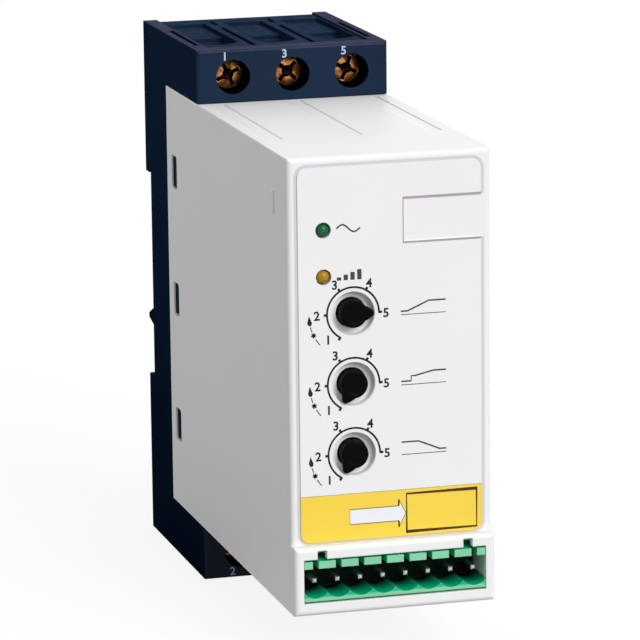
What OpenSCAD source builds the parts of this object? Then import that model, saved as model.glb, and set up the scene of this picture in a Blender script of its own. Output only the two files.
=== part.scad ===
// Motor soft starter for a 35 mm mounting rail
// A dark blue base with six screw clamps carries a white front cover, three setting
// dials, two lamps and an open eight-way header for a plug-in control terminal.
// X points right, Y points away from the reader and Z points up. The origin is on the
// back plane, level with the middle of the rail. Depths count forward from that plane.

/* [Overall] */
// Width of the device
body_w = 45; // [44.5:0.1:47]
// Height over both terminal blocks
body_h = 124; // [122:0.5:130]
// Depth from the back plane to the front of the lower step
body_d = 130.7; // [126:0.1:136]
// Height of the middle of the rail above the underside
rail_level = 71.5; // [70:0.1:73]

/* [Terminal base] */
// Height of each terminal block
block_h = 12.2; // [12.1:0.1:13]
// Depth of each terminal block
block_d = 52; // [50:0.5:55]
// Depth of the base where the cover meets it
tray_d = 21.8; // [21.5:0.1:23]
// Depth of the base's floor behind the heat sink
floor_d = 9.6; // [9.4:0.1:10.4]
// Radius on the front edges of the base
base_edge_r = 0.8; // [0.4:0.1:1.2]
// Wall beside the outer wire funnels
pole_wall = 3.8; // [3.4:0.1:4]
// Width of each wire funnel
funnel_w = 9.4; // [9:0.1:10]
// Length of each wire funnel, front to back
funnel_l = 14.8; // [13:0.1:15]
// Radius of the funnel's front corners
funnel_r = 4.4; // [3:0.1:4.6]
// How far the funnel's front lip slopes forward
funnel_flare = 1.4; // [0.6:0.1:1.8]
// Length of the shallow lead-in behind each funnel
lead_in_l = 18.7; // [16:0.1:19]
// Width of the slits for phase barriers
slit_w = 1.2; // [0.8:0.1:1.6]
// Depth of those slits
slit_h = 4; // [2:0.5:6]

/* [Mounting rail] */
// Height of the rail that the device snaps on
rail_h = 35; // [34.8:0.1:35.2]
// Depth of the notch for the rail
notch_d = 4.8; // [4.4:0.1:5.2]
// Height of the notch for the rail
notch_h = 49.7; // [48:0.1:52]
// How far the fixed hook reaches over the rail's edge
hook_lap = 1; // [0.6:0.1:1.4]
// Width of the sliding clip
clip_w = 18; // [16:0.5:20]
// Thickness of the sliding clip
clip_t = 2.4; // [2:0.1:2.5]
// How far the clip is pulled down to free the rail
clip_travel = 3.5; // [2.5:0.1:4]
// Wire diameter of the clip spring
spring_wire = 0.6; // [0.4:0.05:0.7]
// Outer diameter of the clip spring
spring_d = 4.4; // [4:0.1:4.6]

/* [Screw clamps] */
// Distance from the block's end face to the screw's axis
clamp_drop = 6.5; // [6.2:0.1:6.8]
// Radius of the screwdriver hole
access_r = 4; // [3.8:0.1:4.3]
// How far the screw head lies behind the block's front face
screw_inset = 5; // [4.5:0.1:5.5]
// Radius of the screw head
head_r = 3.5; // [3.2:0.1:3.6]
// Thickness of the screw head
head_t = 2.4; // [2:0.1:2.6]
// Thread radius of the clamp screw
thread_r = 2; // [1.8:0.1:2.2]
// Length of the screw under its head
shank_l = 11.5; // [11.2:0.1:12]
// Travel of the clamp cage
cage_travel = 3.5; // [3:0.1:3.8]
// Width of the clamp cage
cage_w = 8.6; // [8.4:0.1:8.8]
// Height of the clamp cage
cage_h = 5.8; // [5.4:0.1:6]
// Sheet thickness of the cage's front web
cage_web = 1.8; // [1.5:0.1:2]
// Sheet thickness of the cage's other walls
cage_wall = 1; // [0.8:0.1:1.1]
// Space for the wire when the clamp is open
wire_gap = 4.5; // [4.2:0.1:4.8]
// Thickness of the terminal bars
bar_t = 1.4; // [1.2:0.1:1.5]
// Width of the terminal bars
bar_w = 6; // [5:0.1:6.2]

/* [Front cover] */
// Wall thickness of the cover
cover_wall = 1.8; // [1.5:0.1:2.1]
// Radius on the cover's front edges
cover_edge_r = 1.1; // [0.6:0.1:1.8]
// How far the lower step stands in front of the dial face
step_d = 2.7; // [2:0.1:3.2]
// Height of the lower step
step_h = 15.1; // [14.8:0.1:16]
// Height of the latch slots in the sides
latch_h = 7.8; // [7:0.1:9]
// Length of the latch slots, front to back
latch_l = 5; // [4.5:0.1:5.5]
// Distance between the latch slots
latch_pitch = 30.2; // [29:0.1:31]
// Depth of the shallow grooves in the top and bottom
groove_t = 0.2; // [0.1:0.1:0.5]
// Length of those grooves
groove_l = 50; // [45:1:56]
// Margin between the film and the cover's edges
film_margin = 2.2; // [1.8:0.1:2.6]
// Thickness of the film
film_t = 0.25; // [0.15:0.05:0.4]
// Corner radius of the film
film_r = 2; // [1.5:0.1:3]
// Height of the yellow label under the film
label_h = 10.3; // [9:0.1:10.8]
// Width of the marker field left free in the film
marker_w = 17.1; // [14:0.1:18.5]
// Height of that marker field
marker_h = 9.2; // [7:0.1:10]

/* [Dials and lamps] */
// Distance from the cover's left side to the middle of the dials
dial_left = 14.2; // [13.6:0.1:15]
// Radius of the well around each dial
well_r = 4.7; // [4.5:0.05:4.9]
// Depth of that well
well_d = 1.6; // [1.4:0.1:1.9]
// Radius of the dial's barrel
knob_r = 3; // [2.8:0.05:3.2]
// Reach of the dial's pointer from its axis
beak_reach = 4.8; // [4.5:0.05:5]
// How far the dial stands in front of the film
dial_proud = 0.9; // [0.6:0.1:1.2]
// Width across a trimmer body
pot_w = 9.5; // [9:0.1:10]
// Height of a trimmer body above its board
pot_h = 5; // [4.5:0.1:5.4]
// Radius of a lamp's lens
lamp_r = 1.55; // [1.4:0.05:1.6]
// Distance from the cover's left side to the middle of the lamps
lamp_left = 7.8; // [7.4:0.1:8.2]

/* [Control terminal] */
// Distance between the pins of the control terminal
pin_pitch = 5.08; // [5:0.01:5.08]
// Width of a square pin
pin_w = 1; // [0.8:0.05:1]
// Depth of the header body
header_d = 12; // [11.8:0.1:12.4]
// Height of the header body
header_h = 8.8; // [8.6:0.1:9]
// Thickness of the toothed upper wall
header_wall = 1.6; // [1.4:0.1:1.8]
// Width of the coding slots in the upper wall
coding_w = 1.3; // [1:0.1:1.5]
// Radius of the scallops in the lower wall
scallop_r = 3.2; // [3.1:0.05:3.25]
// Thinnest wall under a scallop
scallop_wall = 0.6; // [0.5:0.05:0.7]

/* [Inner parts] */
// Thickness of the circuit boards
board_t = 1.6; // [1.2:0.1:1.8]
// Thickness of the heat sink's plate
sink_t = 4; // [3.8:0.1:4.4]
// Width of a thyristor module
module_w = 21; // [19:0.5:22]
// Height of a thyristor module
module_h = 26; // [24:0.5:27]
// Thickness of a thyristor module
module_t = 5; // [4.6:0.1:5.2]
// Width of a bypass relay
relay_w = 12.7; // [12:0.1:13]
// Height of a bypass relay on its board
relay_l = 29; // [27:0.5:30]
// Depth of a bypass relay in front of its board
relay_d = 15.7; // [14:0.1:18]
// Diameter of the supply capacitors
capacitor_d = 10; // [8:0.5:10.5]
// Length of the supply capacitors
capacitor_l = 20; // [16:0.5:25]
// Diameter of the surge discs
surge_d = 9.6; // [8:0.2:9.8]

/* [Hidden] */
$fn = 48;

// Overrun of every cut past the face that it opens
cut = 1;
// Gap between pieces that rest in each other
seat_gap = 0.1;
// Gap between a shaft and its hole
run_gap = 0.05;
// Gap between pieces that slide or turn past each other
free_gap = 0.3;
// Seam between the cover and the base
seam = 0.2;

// Main levels and widths
half_w = body_w / 2;
z_low = -rail_level;
z_high = body_h - rail_level;
z_mid = (z_low + z_high) / 2;
cover_low = z_low + block_h + seam;
cover_high = z_high - block_h - seam;
face_d = body_d - step_d;
step_top = cover_low + step_h;
inner_half_w = half_w - cover_wall;
pole_pitch = half_w - funnel_w / 2 - pole_wall;

// Lip and latches of the base inside the cover
lip_t = 1.2;
lip_l = 3;
tongue_w = 12;
tongue_l = 12;
latch_back = 26;
latch_ramp = 1.5;
latch_r = 0.9;
latch_reach_share = 0.8;
tray_half_w = inner_half_w - seat_gap - lip_t;
tray_low = cover_low + cover_wall + seat_gap + lip_t;
tray_high = cover_high - cover_wall - seat_gap - lip_t;

// Shallow relief of the terminal blocks
relief_t = 0.5;
relief_margin = 3.3;
relief_front = 4;
lead_in_t = 1;
lead_groove = 1.2;
flare_h = 2.4;
edge_slit_inset = 2.1;
edge_slit_back = 18;
edge_slit_l = 26;
slit_short_back = 3;
slit_short_l = 7;
slit_long_back = 14;
slit_long_l = 33;

// Pockets that keep the base's back at an even thickness
pocket_side = 3;
pocket_rib = 1.8;
pocket_d = 7.4;
pocket_columns = 4;
pocket_row_h = 9.2;
low_pocket_rows = 3;

// Screw clamp, as depths and heights from the block's middle
clamp_z = body_h / 2 - clamp_drop;
head_front = block_d - screw_inset;
head_back = head_front - head_t;
tip_d = head_back - shank_l;
bar_front = tip_d - seat_gap;
bar_back = bar_front - bar_t;
cage_front = head_back - free_gap - cage_travel;
cage_grip = bar_back - wire_gap;
cage_foot = 1.5;
cage_back = cage_grip - cage_foot;
chamber_gap = 0.2;
chamber_back = cage_back - 2 * chamber_gap;
chamber_front = head_back - seat_gap;
funnel_front = chamber_back + funnel_l;
bar_high = clamp_z - cage_h / 2 - free_gap;
bar_low = bar_high - bar_t;
slot_w = 1.1;
slot_t = 1.3;
slot_l = 5.2;

// Depths of the inner parts from the floor of the base outwards
lead_l = 1;
sink_front = floor_d + sink_t;
module_front = sink_front + module_t;
power_back = module_front + lead_l;
power_front = power_back + board_t;
header_inset = 0.1;
header_front = body_d - header_inset;
board_front = header_front - header_d;
board_back = board_front - board_t;
bar_leg_back = power_back - bar_t;
bar_drop = 11;
bar_end = body_h / 2 - block_h - bar_drop;
board_edge_gap = 0.6;
power_half_w = tray_half_w - board_edge_gap;
power_low = tray_low + board_edge_gap;
power_high = tray_high - board_edge_gap;
link_x = -power_half_w;

// Heat sink and power modules
sink_inset = 1.4;
sink_half_w = tray_half_w - sink_inset;
sink_gap = 0.5;
sink_high = z_mid + bar_end - sink_gap;
sink_low = z_mid - bar_end + sink_gap;
fin_t = 1.2;
fin_pitch = 2.7;
fin_count = floor((sink_half_w - module_w / 2 - fin_t) / fin_pitch) + 1;
module_gap = 4;
module_z = (module_h + module_gap) / 2;
tab_screw_r = 1.5;
tab_screw_head = 2.6;
tab_screw_head_t = 1.8;
tab_screw_l = 8;
tab_hole_drop = 3.5;
tab_t = 2.2;
pin_leg_w = 1.2;
pin_leg_pitch = 5.4;

// Posts and screws of the boards
post_r = 2.5;
post_x = pole_pitch / 2;
post_inset = 4.2;
front_post_inset = 3.9;
front_post_drop = 6.5;
front_post_rise = 20;
front_post_x = inner_half_w - front_post_inset;
small_screw_r = 1.1;
small_head_r = 2.3;
small_head_t = 1.5;
small_screw_l = 6;

// Parts on the boards
relay_inset = 0.2;
relay_drop = 4.4;
relay_x = power_half_w - board_t - relay_inset - relay_w / 2;
relay_z = power_high - post_inset - small_head_r - relay_drop - relay_l / 2;
relay_foot = 2;
relay_step = 0.4;
can_foot = 2;
can_groove = 0.5;
link_w = 5;
link_t = 0.8;
link_lap = 2;
capacitor_inset = 2;
capacitor_fall = 13.5;
capacitor_x = power_half_w - capacitor_inset - capacitor_d / 2;
capacitor_z = z_mid - capacitor_fall;
surge_t = 4;
surge_rise = 1.9;
surge_x = power_half_w - surge_d / 2;
surge_z = power_low + post_inset + small_head_r + surge_rise + surge_t / 2;
link_gap = 1;
link_rise = 18.5;
link_low = cover_low + front_post_rise + small_head_r + link_gap;
link_high = z_mid + link_rise;
surge_lift = 1.4;
surge_leg = 0.8;
surge_leg_x = 3.6;
transformer_l = 17;
transformer_h = 15;
transformer_t = 12;
transformer_d = 66;
transformer_fall = 2.5;
transformer_z = z_mid - transformer_fall;
winding_t = 2;
winding_h = 8;
chip_w = 10;
chip_t = 2.4;
chip_rise = 7.5;
chip_z = z_mid + chip_rise;
chip_leg = 0.8;
chip_legs = 8;
chip_leg_share = 0.4;

// Front cover details
groove_w = 3;
groove_inset = 4.5;
groove_lead = 1.5;
groove_side_x = half_w - groove_inset;
groove_back = block_d + groove_lead;
mark_back = 7.6;
mark_down = 4.7;
mark_w = 0.8;
mark_t = 0.3;
mark_inset = 10.3;
mark_drop = 8.6;
window_gap = 0.1;
window_rise = 0.45;
header_poles = floor(2 * inner_half_w / pin_pitch);
header_w = header_poles * pin_pitch;
window_w = header_w + 2 * window_gap;
window_h = header_h + 2 * window_rise;
pin_lift = 7.6;
pin_z = cover_low + pin_lift;
key_inset = 4;
key_x = header_w / 2 - key_inset;
key_w = 2.1;
key_h = 1.9;
marker_drop = 9.9;
label_gap = 0.4;
film_top = cover_high - film_margin;
film_low = step_top + label_gap;
film_half_w = half_w - film_margin;
film_w = 2 * film_half_w;
film_split = film_low + label_h;
marker_top = cover_high - marker_drop;
// Places down the dial face, as shares of its height above the label
dial_face_h = cover_high - film_split;
dial_shares = [0.464, 0.673, 0.882];
lamp_shares = [0.214, 0.3515];

// Dials
floor_t = 1.2;
collar_wall = 1.3;
well_floor = face_d - well_d;
knob_front = face_d + film_t + dial_proud;
knob_back = board_front + pot_h + free_gap;
knob_hole_r = knob_r + free_gap;
spindle_r = 1.5;
spindle_l = 2.2;
pot_collar_r = 3.2;
pot_collar_t = 0.6;
beak_tip_r = 0.5;
beak_back = face_d + film_t + seat_gap;
// Angle of each dial's pointer, counted up from the right
dial_angles = [0, 240, 240];

// Lamps
lamp_gap = 0.15;
lamp_proud = 0.7;
lamp_base_r = 2.1;
lamp_base_l = 5;

// Header
header_low = pin_z - header_h / 2;
header_high = pin_z + header_h / 2;
header_back_t = 2.5;
pin_tip_inset = 0.8;
pin_taper = 0.8;
pin_tail = 3;
pin_gap = 0.02;
scallop_z = header_low + scallop_wall + scallop_r;

// Rail clip and its spring
hook_slot_share = 0.5;
hook_top = rail_h / 2 + hook_slot_share * hook_lap;
notch_top = rail_h / 2 - hook_lap;
notch_low = notch_top - notch_h;
lip_slot = 1.4;
rail_lip_gap = 1.1;
clip_gap = 0.2;
clip_front = notch_d + clip_gap;
clip_back = clip_front + clip_t;
channel_d = clip_back + clip_gap;
clip_seat = -rail_h / 2 - seat_gap;
nose_lap_share = 0.9;
nose_top = clip_seat + nose_lap_share * hook_lap;
nose_drop = 1.6;
nose_flat = 1.1;
nose_slope = 1.35;
nose_w = body_w - 2 * seat_gap;
nose_front = notch_d - clip_gap;
nose_low = nose_top - nose_drop - nose_flat;
clip_foot_gap = 2;
clip_low = z_low + clip_foot_gap;
foot_w = 11.6;
mouth_w = foot_w + 4 * clip_gap;
foot_h = 8;
foot_inset = 1;
pull_w = 4.4;
pull_h = 3;
pull_lift = 2.5;
spring_drop = 2.8;
spring_l = 14;
spring_top = notch_low - spring_drop;
spring_low = spring_top - spring_l;
spring_turns = 6;
spring_steps = 14;
spring_sides = 6;
window_half_w = spring_d / 2 + free_gap;
boss_h = 3.5;
boss_inset = 3;
spring_depth = channel_d - free_gap - spring_d / 2;
spigot_w = 1.6;
spigot_t = 1.1;
spigot_l = 2;
end_close = 40;

// Box of width w between two depths and two levels, centred on x
module slab(w, d0, d1, z0, z1, x = 0) {
    translate([x - w / 2, -d1, z0]) cube([w, d1 - d0, z1 - z0]);
}

// Round bar along the depth
module rod(r, d0, d1) {
    translate([0, -d0, 0]) rotate([90, 0, 0]) cylinder(r = r, h = d1 - d0);
}

// Outline in width and height, given a thickness forward of depth d
module plate(d, t) {
    translate([0, -d, 0]) rotate([90, 0, 0]) linear_extrude(t) children();
}

// Outline in depth and height, run across width w
module across(w) {
    translate([-w / 2, 0, 0]) rotate([90, 0, 90]) linear_extrude(w) children();
}

// Rectangle with round corners about the origin
module soft_square(w, h, r) {
    square([w - 2 * r, h], center = true);
    square([w, h - 2 * r], center = true);
    for (x = [-1, 1], y = [-1, 1])
        translate([x * (w / 2 - r), y * (h / 2 - r)]) circle(r);
}

// Place of screw clamp n: odd ones on top, even ones below, in three columns
module at_pole(n) {
    column = floor((n - 1) / 2) - 1;
    translate([column * pole_pitch, 0, z_mid])
        mirror([0, 0, (n - 1) % 2])
            children();
}

// Both ends of the device, the lower one a mirror image of the upper
module at_both_ends() {
    translate([0, 0, z_mid])
        for (end = [0, 1]) mirror([0, 0, end]) children();
}

// Block with round front edges between two levels, reaching depth front
module soft_block(w, back, front, z0, z1, r) {
    intersection() {
        across(w) {
            translate([-front + r, z0]) square([front - r - back, z1 - z0]);
            translate([-front, z0 + r]) square([2 * r, z1 - z0 - 2 * r]);
            for (z = [z0 + r, z1 - r]) translate([-front + r, z]) circle(r);
        }
        translate([0, 0, z0]) linear_extrude(z1 - z0) {
            translate([-w / 2, -front + r]) square([w, front - r - back]);
            translate([-w / 2 + r, -front]) square([w - 2 * r, 2 * r]);
            for (x = [-1, 1]) translate([x * (w / 2 - r), -front + r]) circle(r);
        }
    }
}

// Hollow of one screw clamp: screwdriver hole, chamber, bar slot and wire funnel
module clamp_hollow() {
    top = body_h / 2;
    chamber_half_h = cage_h / 2 + chamber_gap;
    translate([0, 0, clamp_z]) rod(access_r, chamber_front - cut, block_d + cut);
    slab(cage_w + 4 * chamber_gap, chamber_back, chamber_front,
        clamp_z - chamber_half_h, clamp_z + chamber_half_h);
    slab(bar_w + 2 * chamber_gap, bar_leg_back - seat_gap, bar_front + chamber_gap,
        bar_low - seat_gap, clamp_z - chamber_half_h + seat_gap);
    slab(bar_w + 2 * chamber_gap, bar_leg_back - seat_gap, power_back + seat_gap,
        top - block_h - seam - cover_wall - 2 * lip_t, bar_high);
    translate([0, 0, clamp_z]) linear_extrude(clamp_drop + cut) funnel_outline(0);
    translate([0, 0, top - relief_t - lead_in_t])
        linear_extrude(relief_t + lead_in_t + cut) funnel_outline(lead_in_l);
    slab(funnel_w, chamber_back - lead_groove, chamber_back,
        top - relief_t - 2 * lead_in_t, top);
    funnel_lip(top);
}

// Front lip of the funnel, opening forward over its last few millimetres below level top
module funnel_lip(top) {
    slope = funnel_flare / flare_h;
    intersection() {
        translate([0, -funnel_front + funnel_r, top - flare_h])
            cylinder(r1 = funnel_r, r2 = funnel_r + slope * (flare_h + cut), h = flare_h + cut);
        slab(funnel_w, funnel_front - 2 * funnel_r, block_d, top - 2 * flare_h, top + 2 * cut);
    }
}

// Plan of the wire funnel, straight at the back and rounded in front
module funnel_outline(extra) {
    length = funnel_l + extra;
    translate([-funnel_w / 2, -funnel_front + funnel_r]) square([funnel_w, length - funnel_r]);
    translate([-funnel_w / 2 + funnel_r, -funnel_front])
        square([funnel_w - 2 * funnel_r, 2 * funnel_r]);
    for (x = [-1, 1])
        translate([x * (funnel_w / 2 - funnel_r), -funnel_front + funnel_r]) circle(funnel_r);
}

// Relief and barrier slits in the outer face of a terminal block
module block_relief() {
    top = body_h / 2;
    slab(body_w - 2 * relief_margin, -cut, block_d - relief_front, top - relief_t, top + cut);
    for (x = [-1, 1]) {
        slab(slit_w, edge_slit_back, edge_slit_back + edge_slit_l,
            top - slit_h, top + cut, x * (half_w - edge_slit_inset));
        slab(slit_w, slit_short_back, slit_short_back + slit_short_l,
            top - slit_h, top + cut, x * pole_pitch / 2);
        slab(slit_w, slit_long_back, slit_long_back + slit_long_l,
            top - slit_h, top + cut, x * pole_pitch / 2);
    }
}

// Pockets in the back of the base, in columns beside the clip channel and above the rail
module back_pockets() {
    step = (body_w - 2 * pocket_side + pocket_rib) / pocket_columns;
    upper_low = hook_top + 2 * pocket_rib;
    for (column = [0 : pocket_columns - 1], row = [0 : 1 : (cover_high - upper_low) / pocket_row_h - 1])
        slab(step - pocket_rib, -cut, pocket_d, upper_low + row * pocket_row_h,
            upper_low + (row + 1) * pocket_row_h - pocket_rib,
            (column - (pocket_columns - 1) / 2) * step);
    lower_high = notch_low - pocket_rib;
    inner = clip_w / 2 + clip_gap + pocket_rib;
    outer = half_w - pocket_side;
    lower_h = (lower_high - z_low - pocket_rib) / low_pocket_rows - pocket_rib;
    for (x = [-1, 1], row = [0 : low_pocket_rows - 1])
        slab(outer - inner, -cut, pocket_d, z_low + pocket_rib + row * (lower_h + pocket_rib),
            z_low + pocket_rib + row * (lower_h + pocket_rib) + lower_h,
            x * (inner + outer) / 2);
}

// Hook that holds the cover through one latch slot, on the right-hand side
module latch_hook() {
    width = latch_h - 2 * free_gap;
    base = inner_half_w - seat_gap;
    tip = inner_half_w + latch_reach_share * cover_wall;
    translate([0, 0, -width / 2]) linear_extrude(width)
        polygon([[base - lip_t, -latch_back - free_gap], [tip, -latch_back - free_gap],
            [tip, -latch_back - latch_ramp], [base, -latch_back - latch_l + free_gap],
            [base - lip_t, -latch_back - latch_l + free_gap]]);
}

module rear_housing() {
    color("midnightblue") {
        difference() {
            union() {
                intersection() {
                    across(body_w) {
                        translate([-tray_d, z_low]) square([tray_d, body_h]);
                        for (z = [z_low, z_high - block_h])
                            translate([-block_d, z]) square([block_d, block_h]);
                    }
                    soft_block(body_w, 0, block_d, z_low, z_high, base_edge_r);
                }
                slab(2 * (inner_half_w - seat_gap), tray_d - lip_l, tray_d + lip_l,
                    tray_low - lip_t, tray_high + lip_t);
                for (x = [0, 1], z = [-1, 0, 1]) mirror([x, 0, 0])
                    translate([0, 0, z_mid + z * latch_pitch]) {
                        slab(lip_t, tray_d - lip_l, tray_d + tongue_l,
                            -tongue_w / 2, tongue_w / 2, tray_half_w + lip_t / 2);
                        latch_hook();
                    }
            }
            slab(2 * tray_half_w, floor_d, block_d, tray_low, tray_high);
            slab(body_w + 2 * cut, -cut, notch_d, notch_low, notch_top);
            slab(body_w + 2 * cut, notch_d - lip_slot, notch_d, notch_low, hook_top);
            slab(clip_w + 2 * clip_gap, notch_d - clip_gap, channel_d,
                z_low - cut, clip_seat + free_gap);
            slab(mouth_w, -cut, channel_d, z_low - cut, notch_low + cut);
            slab(pull_w + 4 * clip_gap, channel_d - cut, channel_d + pull_h,
                z_low - cut, z_low + pull_lift + pull_h);
            back_pockets();
            at_both_ends() block_relief();
            for (n = [1 : 6]) at_pole(n) clamp_hollow();
            at_base_posts() rod(small_screw_r + run_gap, floor_d - cut, power_back);
        }
        slab(spring_d, boss_inset, channel_d + seat_gap, spring_low - boss_h, spring_low);
        at_base_posts() difference() {
            rod(post_r, floor_d - seat_gap, power_back);
            rod(small_screw_r + run_gap, floor_d, power_back + cut);
        }
    }
}

module front_cover() {
    color("whitesmoke") difference() {
        union() {
            difference() {
                union() {
                    soft_block(body_w, tray_d, face_d, cover_low, cover_high, cover_edge_r);
                    soft_block(body_w, tray_d, body_d, cover_low, step_top, cover_edge_r);
                    for (x = [-1, 1]) side_mark(x);
                }
                slab(2 * inner_half_w, tray_d - cut, face_d - cover_wall,
                    cover_low + cover_wall, cover_high - cover_wall);
                slab(2 * inner_half_w, tray_d - cut, body_d - cover_wall,
                    cover_low + cover_wall, step_top - cover_wall);
            }
            for (i = [0 : 2]) at_dial(i)
                rod(well_r + collar_wall, well_floor - floor_t, face_d - cover_wall / 2);
            at_front_posts() rod(post_r, board_front, face_d - cover_wall / 2);
        }
        for (i = [0 : 2]) at_dial(i) {
            rod(well_r, well_floor, face_d + cut);
            rod(knob_hole_r, well_floor - floor_t - cut, well_floor + cut);
        }
        for (i = [0, 1]) at_lamp(i) rod(lamp_r + lamp_gap, face_d - cover_wall - cut, face_d + cut);
        at_front_posts() rod(small_screw_r + run_gap, board_front - cut, board_front + small_screw_l);
        plug_window();
        for (side = [0, 1], z = [-1, 0, 1]) mirror([side, 0, 0])
            translate([inner_half_w - cut, -latch_back - latch_l / 2, z_mid + z * latch_pitch])
                rotate([90, 0, 90]) linear_extrude(cover_wall + 2 * cut)
                    soft_square(latch_l, latch_h, latch_r);
        for (x = [-groove_side_x, 0, groove_side_x]) {
            slab(groove_w, groove_back, groove_back + groove_l, cover_high - groove_t,
                cover_high + cut, x);
            slab(groove_w, groove_back, groove_back + groove_l, cover_low - cut,
                cover_low + groove_t, x);
        }
    }
}

// Raised corner mark near the front of each side
module side_mark(x) {
    top = cover_high - mark_drop;
    front = face_d - mark_inset;
    slab(cover_wall, front - mark_back, front, top - mark_w, top,
        x * (half_w + mark_t - cover_wall / 2));
    slab(cover_wall, front - mark_w, front, top - mark_down, top,
        x * (half_w + mark_t - cover_wall / 2));
}

// Window for the plug, with two coding notches above it
module plug_window() {
    slab(window_w, body_d - cover_wall - cut, body_d + cut,
        pin_z - window_h / 2, pin_z + window_h / 2);
    for (x = [-1, 1])
        slab(key_w, body_d - cover_wall - cut, body_d + cut, pin_z,
            pin_z + window_h / 2 + key_h, x * key_x);
}

module at_dial(i) {
    translate([dial_left - half_w, 0, cover_high - dial_shares[i] * dial_face_h]) children();
}

module at_lamp(i) {
    translate([lamp_left - half_w, 0, cover_high - lamp_shares[i] * dial_face_h]) children();
}

module at_front_posts() {
    for (x = [-1, 1], z = [cover_high - front_post_drop, cover_low + front_post_rise])
        translate([x * front_post_x, 0, z]) children();
}

// Outline of the film and the label together, between two levels
module film_part(low, high) {
    intersection() {
        translate([0, (film_top + film_low) / 2]) soft_square(film_w, film_top - film_low, film_r);
        translate([-half_w, low]) square([body_w, high - low]);
    }
}

module front_film() {
    color("white") difference() {
        plate(face_d, film_t) difference() {
            film_part(film_split, cover_high);
            translate([film_half_w - marker_w, marker_top - marker_h])
                square([marker_w + cut, marker_h]);
        }
        for (i = [0 : 2]) at_dial(i) rod(well_r + seat_gap, face_d - cut, face_d + cut);
        for (i = [0, 1]) at_lamp(i) rod(lamp_r + lamp_gap, face_d - cut, face_d + cut);
    }
}

module range_label() {
    color("gold") plate(face_d, film_t) film_part(cover_low, film_split - seat_gap);
}

module control_header() {
    color("seagreen") difference() {
        slab(header_w, board_front, header_front, header_low, header_high);
        slab(header_w + 2 * cut, board_front + header_back_t, header_front + cut,
            scallop_z, header_high - header_wall);
        for (i = [0 : header_poles - 1]) at_pin(i) {
            translate([0, 0, scallop_z - pin_z])
                rod(scallop_r, board_front + header_back_t, header_front + cut);
            slab(coding_w, board_front + header_back_t, header_front + cut,
                0, header_h / 2 + cut);
            slab(pin_w + 2 * pin_gap, board_front - cut, header_front,
                -pin_w / 2 - pin_gap, pin_w / 2 + pin_gap);
        }
    }
}

module at_pin(i) {
    translate([(i - (header_poles - 1) / 2) * pin_pitch, 0, pin_z]) children();
}

// Square pins with chamfered tips, one for each pole
module header_pins() {
    color("silver") for (i = [0 : header_poles - 1]) at_pin(i) {
        tip = header_front - pin_tip_inset;
        intersection() {
            slab(pin_w, board_back - pin_tail, tip, -pin_w / 2, pin_w / 2);
            across(pin_w + 2 * cut) pin_outline(tip);
            translate([0, 0, -pin_w]) linear_extrude(2 * pin_w)
                rotate([0, 0, 90]) pin_outline(tip);
        }
    }
}

// Side outline of a pin, narrowed at its tip
module pin_outline(tip) {
    polygon([[-board_back + pin_tail + cut, -pin_w], [-tip + pin_taper, -pin_w],
        [-tip, -pin_w / 4], [-tip, pin_w / 4], [-tip + pin_taper, pin_w],
        [-board_back + pin_tail + cut, pin_w]]);
}

// Two board screws of one size, from depth d under the head
module small_screw(d, direction) {
    rod_to(small_head_r, d, d + direction * small_head_t);
    rod_to(small_screw_r, d, d - direction * small_screw_l);
}

// Round bar between two depths given in any order
module rod_to(r, d0, d1) {
    rod(r, min(d0, d1), max(d0, d1));
}

module at_base_posts() {
    for (x = [-1, 1], z = [power_low + post_inset, power_high - post_inset])
        translate([x * post_x, 0, z]) children();
}

module control_board() {
    color("darkgreen") difference() {
        slab(2 * (inner_half_w - board_edge_gap), board_back, board_front,
            cover_low + cover_wall + board_edge_gap, cover_high - cover_wall - board_edge_gap);
        at_front_posts() rod(small_screw_r + seat_gap, board_back - cut, board_front + cut);
        for (i = [0 : header_poles - 1]) at_pin(i)
            slab(pin_w + 2 * pin_gap, board_back - cut, board_front + cut,
                -pin_w / 2 - pin_gap, pin_w / 2 + pin_gap);
    }
}

module link_board() {
    color("darkgreen") slab(board_t, power_front, board_back, link_low, link_high,
        link_x + board_t / 2);
}

module power_board() {
    color("darkgreen") difference() {
        slab(2 * power_half_w, power_back, power_front, power_low, power_high);
        at_base_posts() rod(small_screw_r + seat_gap, power_back - cut, power_front + cut);
    }
}

// Plate with upright fins beside the power modules
module heat_sink() {
    color("lightsteelblue") difference() {
        union() {
            slab(2 * sink_half_w, floor_d, sink_front, sink_low, sink_high);
            for (x = [-1, 1], i = [0 : fin_count - 1])
                slab(fin_t, sink_front - seat_gap, module_front, sink_low, sink_high,
                    x * (sink_half_w - fin_t / 2 - i * fin_pitch));
        }
        at_modules() translate([0, 0, module_h / 2 - tab_hole_drop])
            rod(tab_screw_r + run_gap, floor_d + seat_gap, sink_front + cut);
    }
}

module at_modules() {
    for (end = [-1, 1]) translate([0, 0, z_mid + end * module_z]) children();
}

// Flat power module with a thin screw tab and three legs to the board
module thyristor_module(end) {
    color("dimgray") translate([0, 0, z_mid + end * module_z]) difference() {
        union() {
            slab(module_w, sink_front, module_front, -module_h / 2,
                module_h / 2 - 2 * tab_hole_drop);
            slab(module_w, sink_front, sink_front + tab_t, -module_h / 2, module_h / 2);
            for (i = [-1 : 1])
                slab(pin_leg_w, module_front - seat_gap, power_back,
                    -module_h / 2 + pin_leg_w, -module_h / 2 + 2 * pin_leg_w, i * pin_leg_pitch);
        }
        translate([0, 0, module_h / 2 - tab_hole_drop])
            rod(tab_screw_r + run_gap, sink_front - cut, module_front + cut);
    }
}

module module_screws() {
    tab_front = sink_front + tab_t;
    color("silver") at_modules() translate([0, 0, module_h / 2 - tab_hole_drop]) {
        rod(tab_screw_head, tab_front, tab_front + tab_screw_head_t);
        rod(tab_screw_r, floor_d + 2 * seat_gap, tab_front + seat_gap);
    }
}

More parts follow.
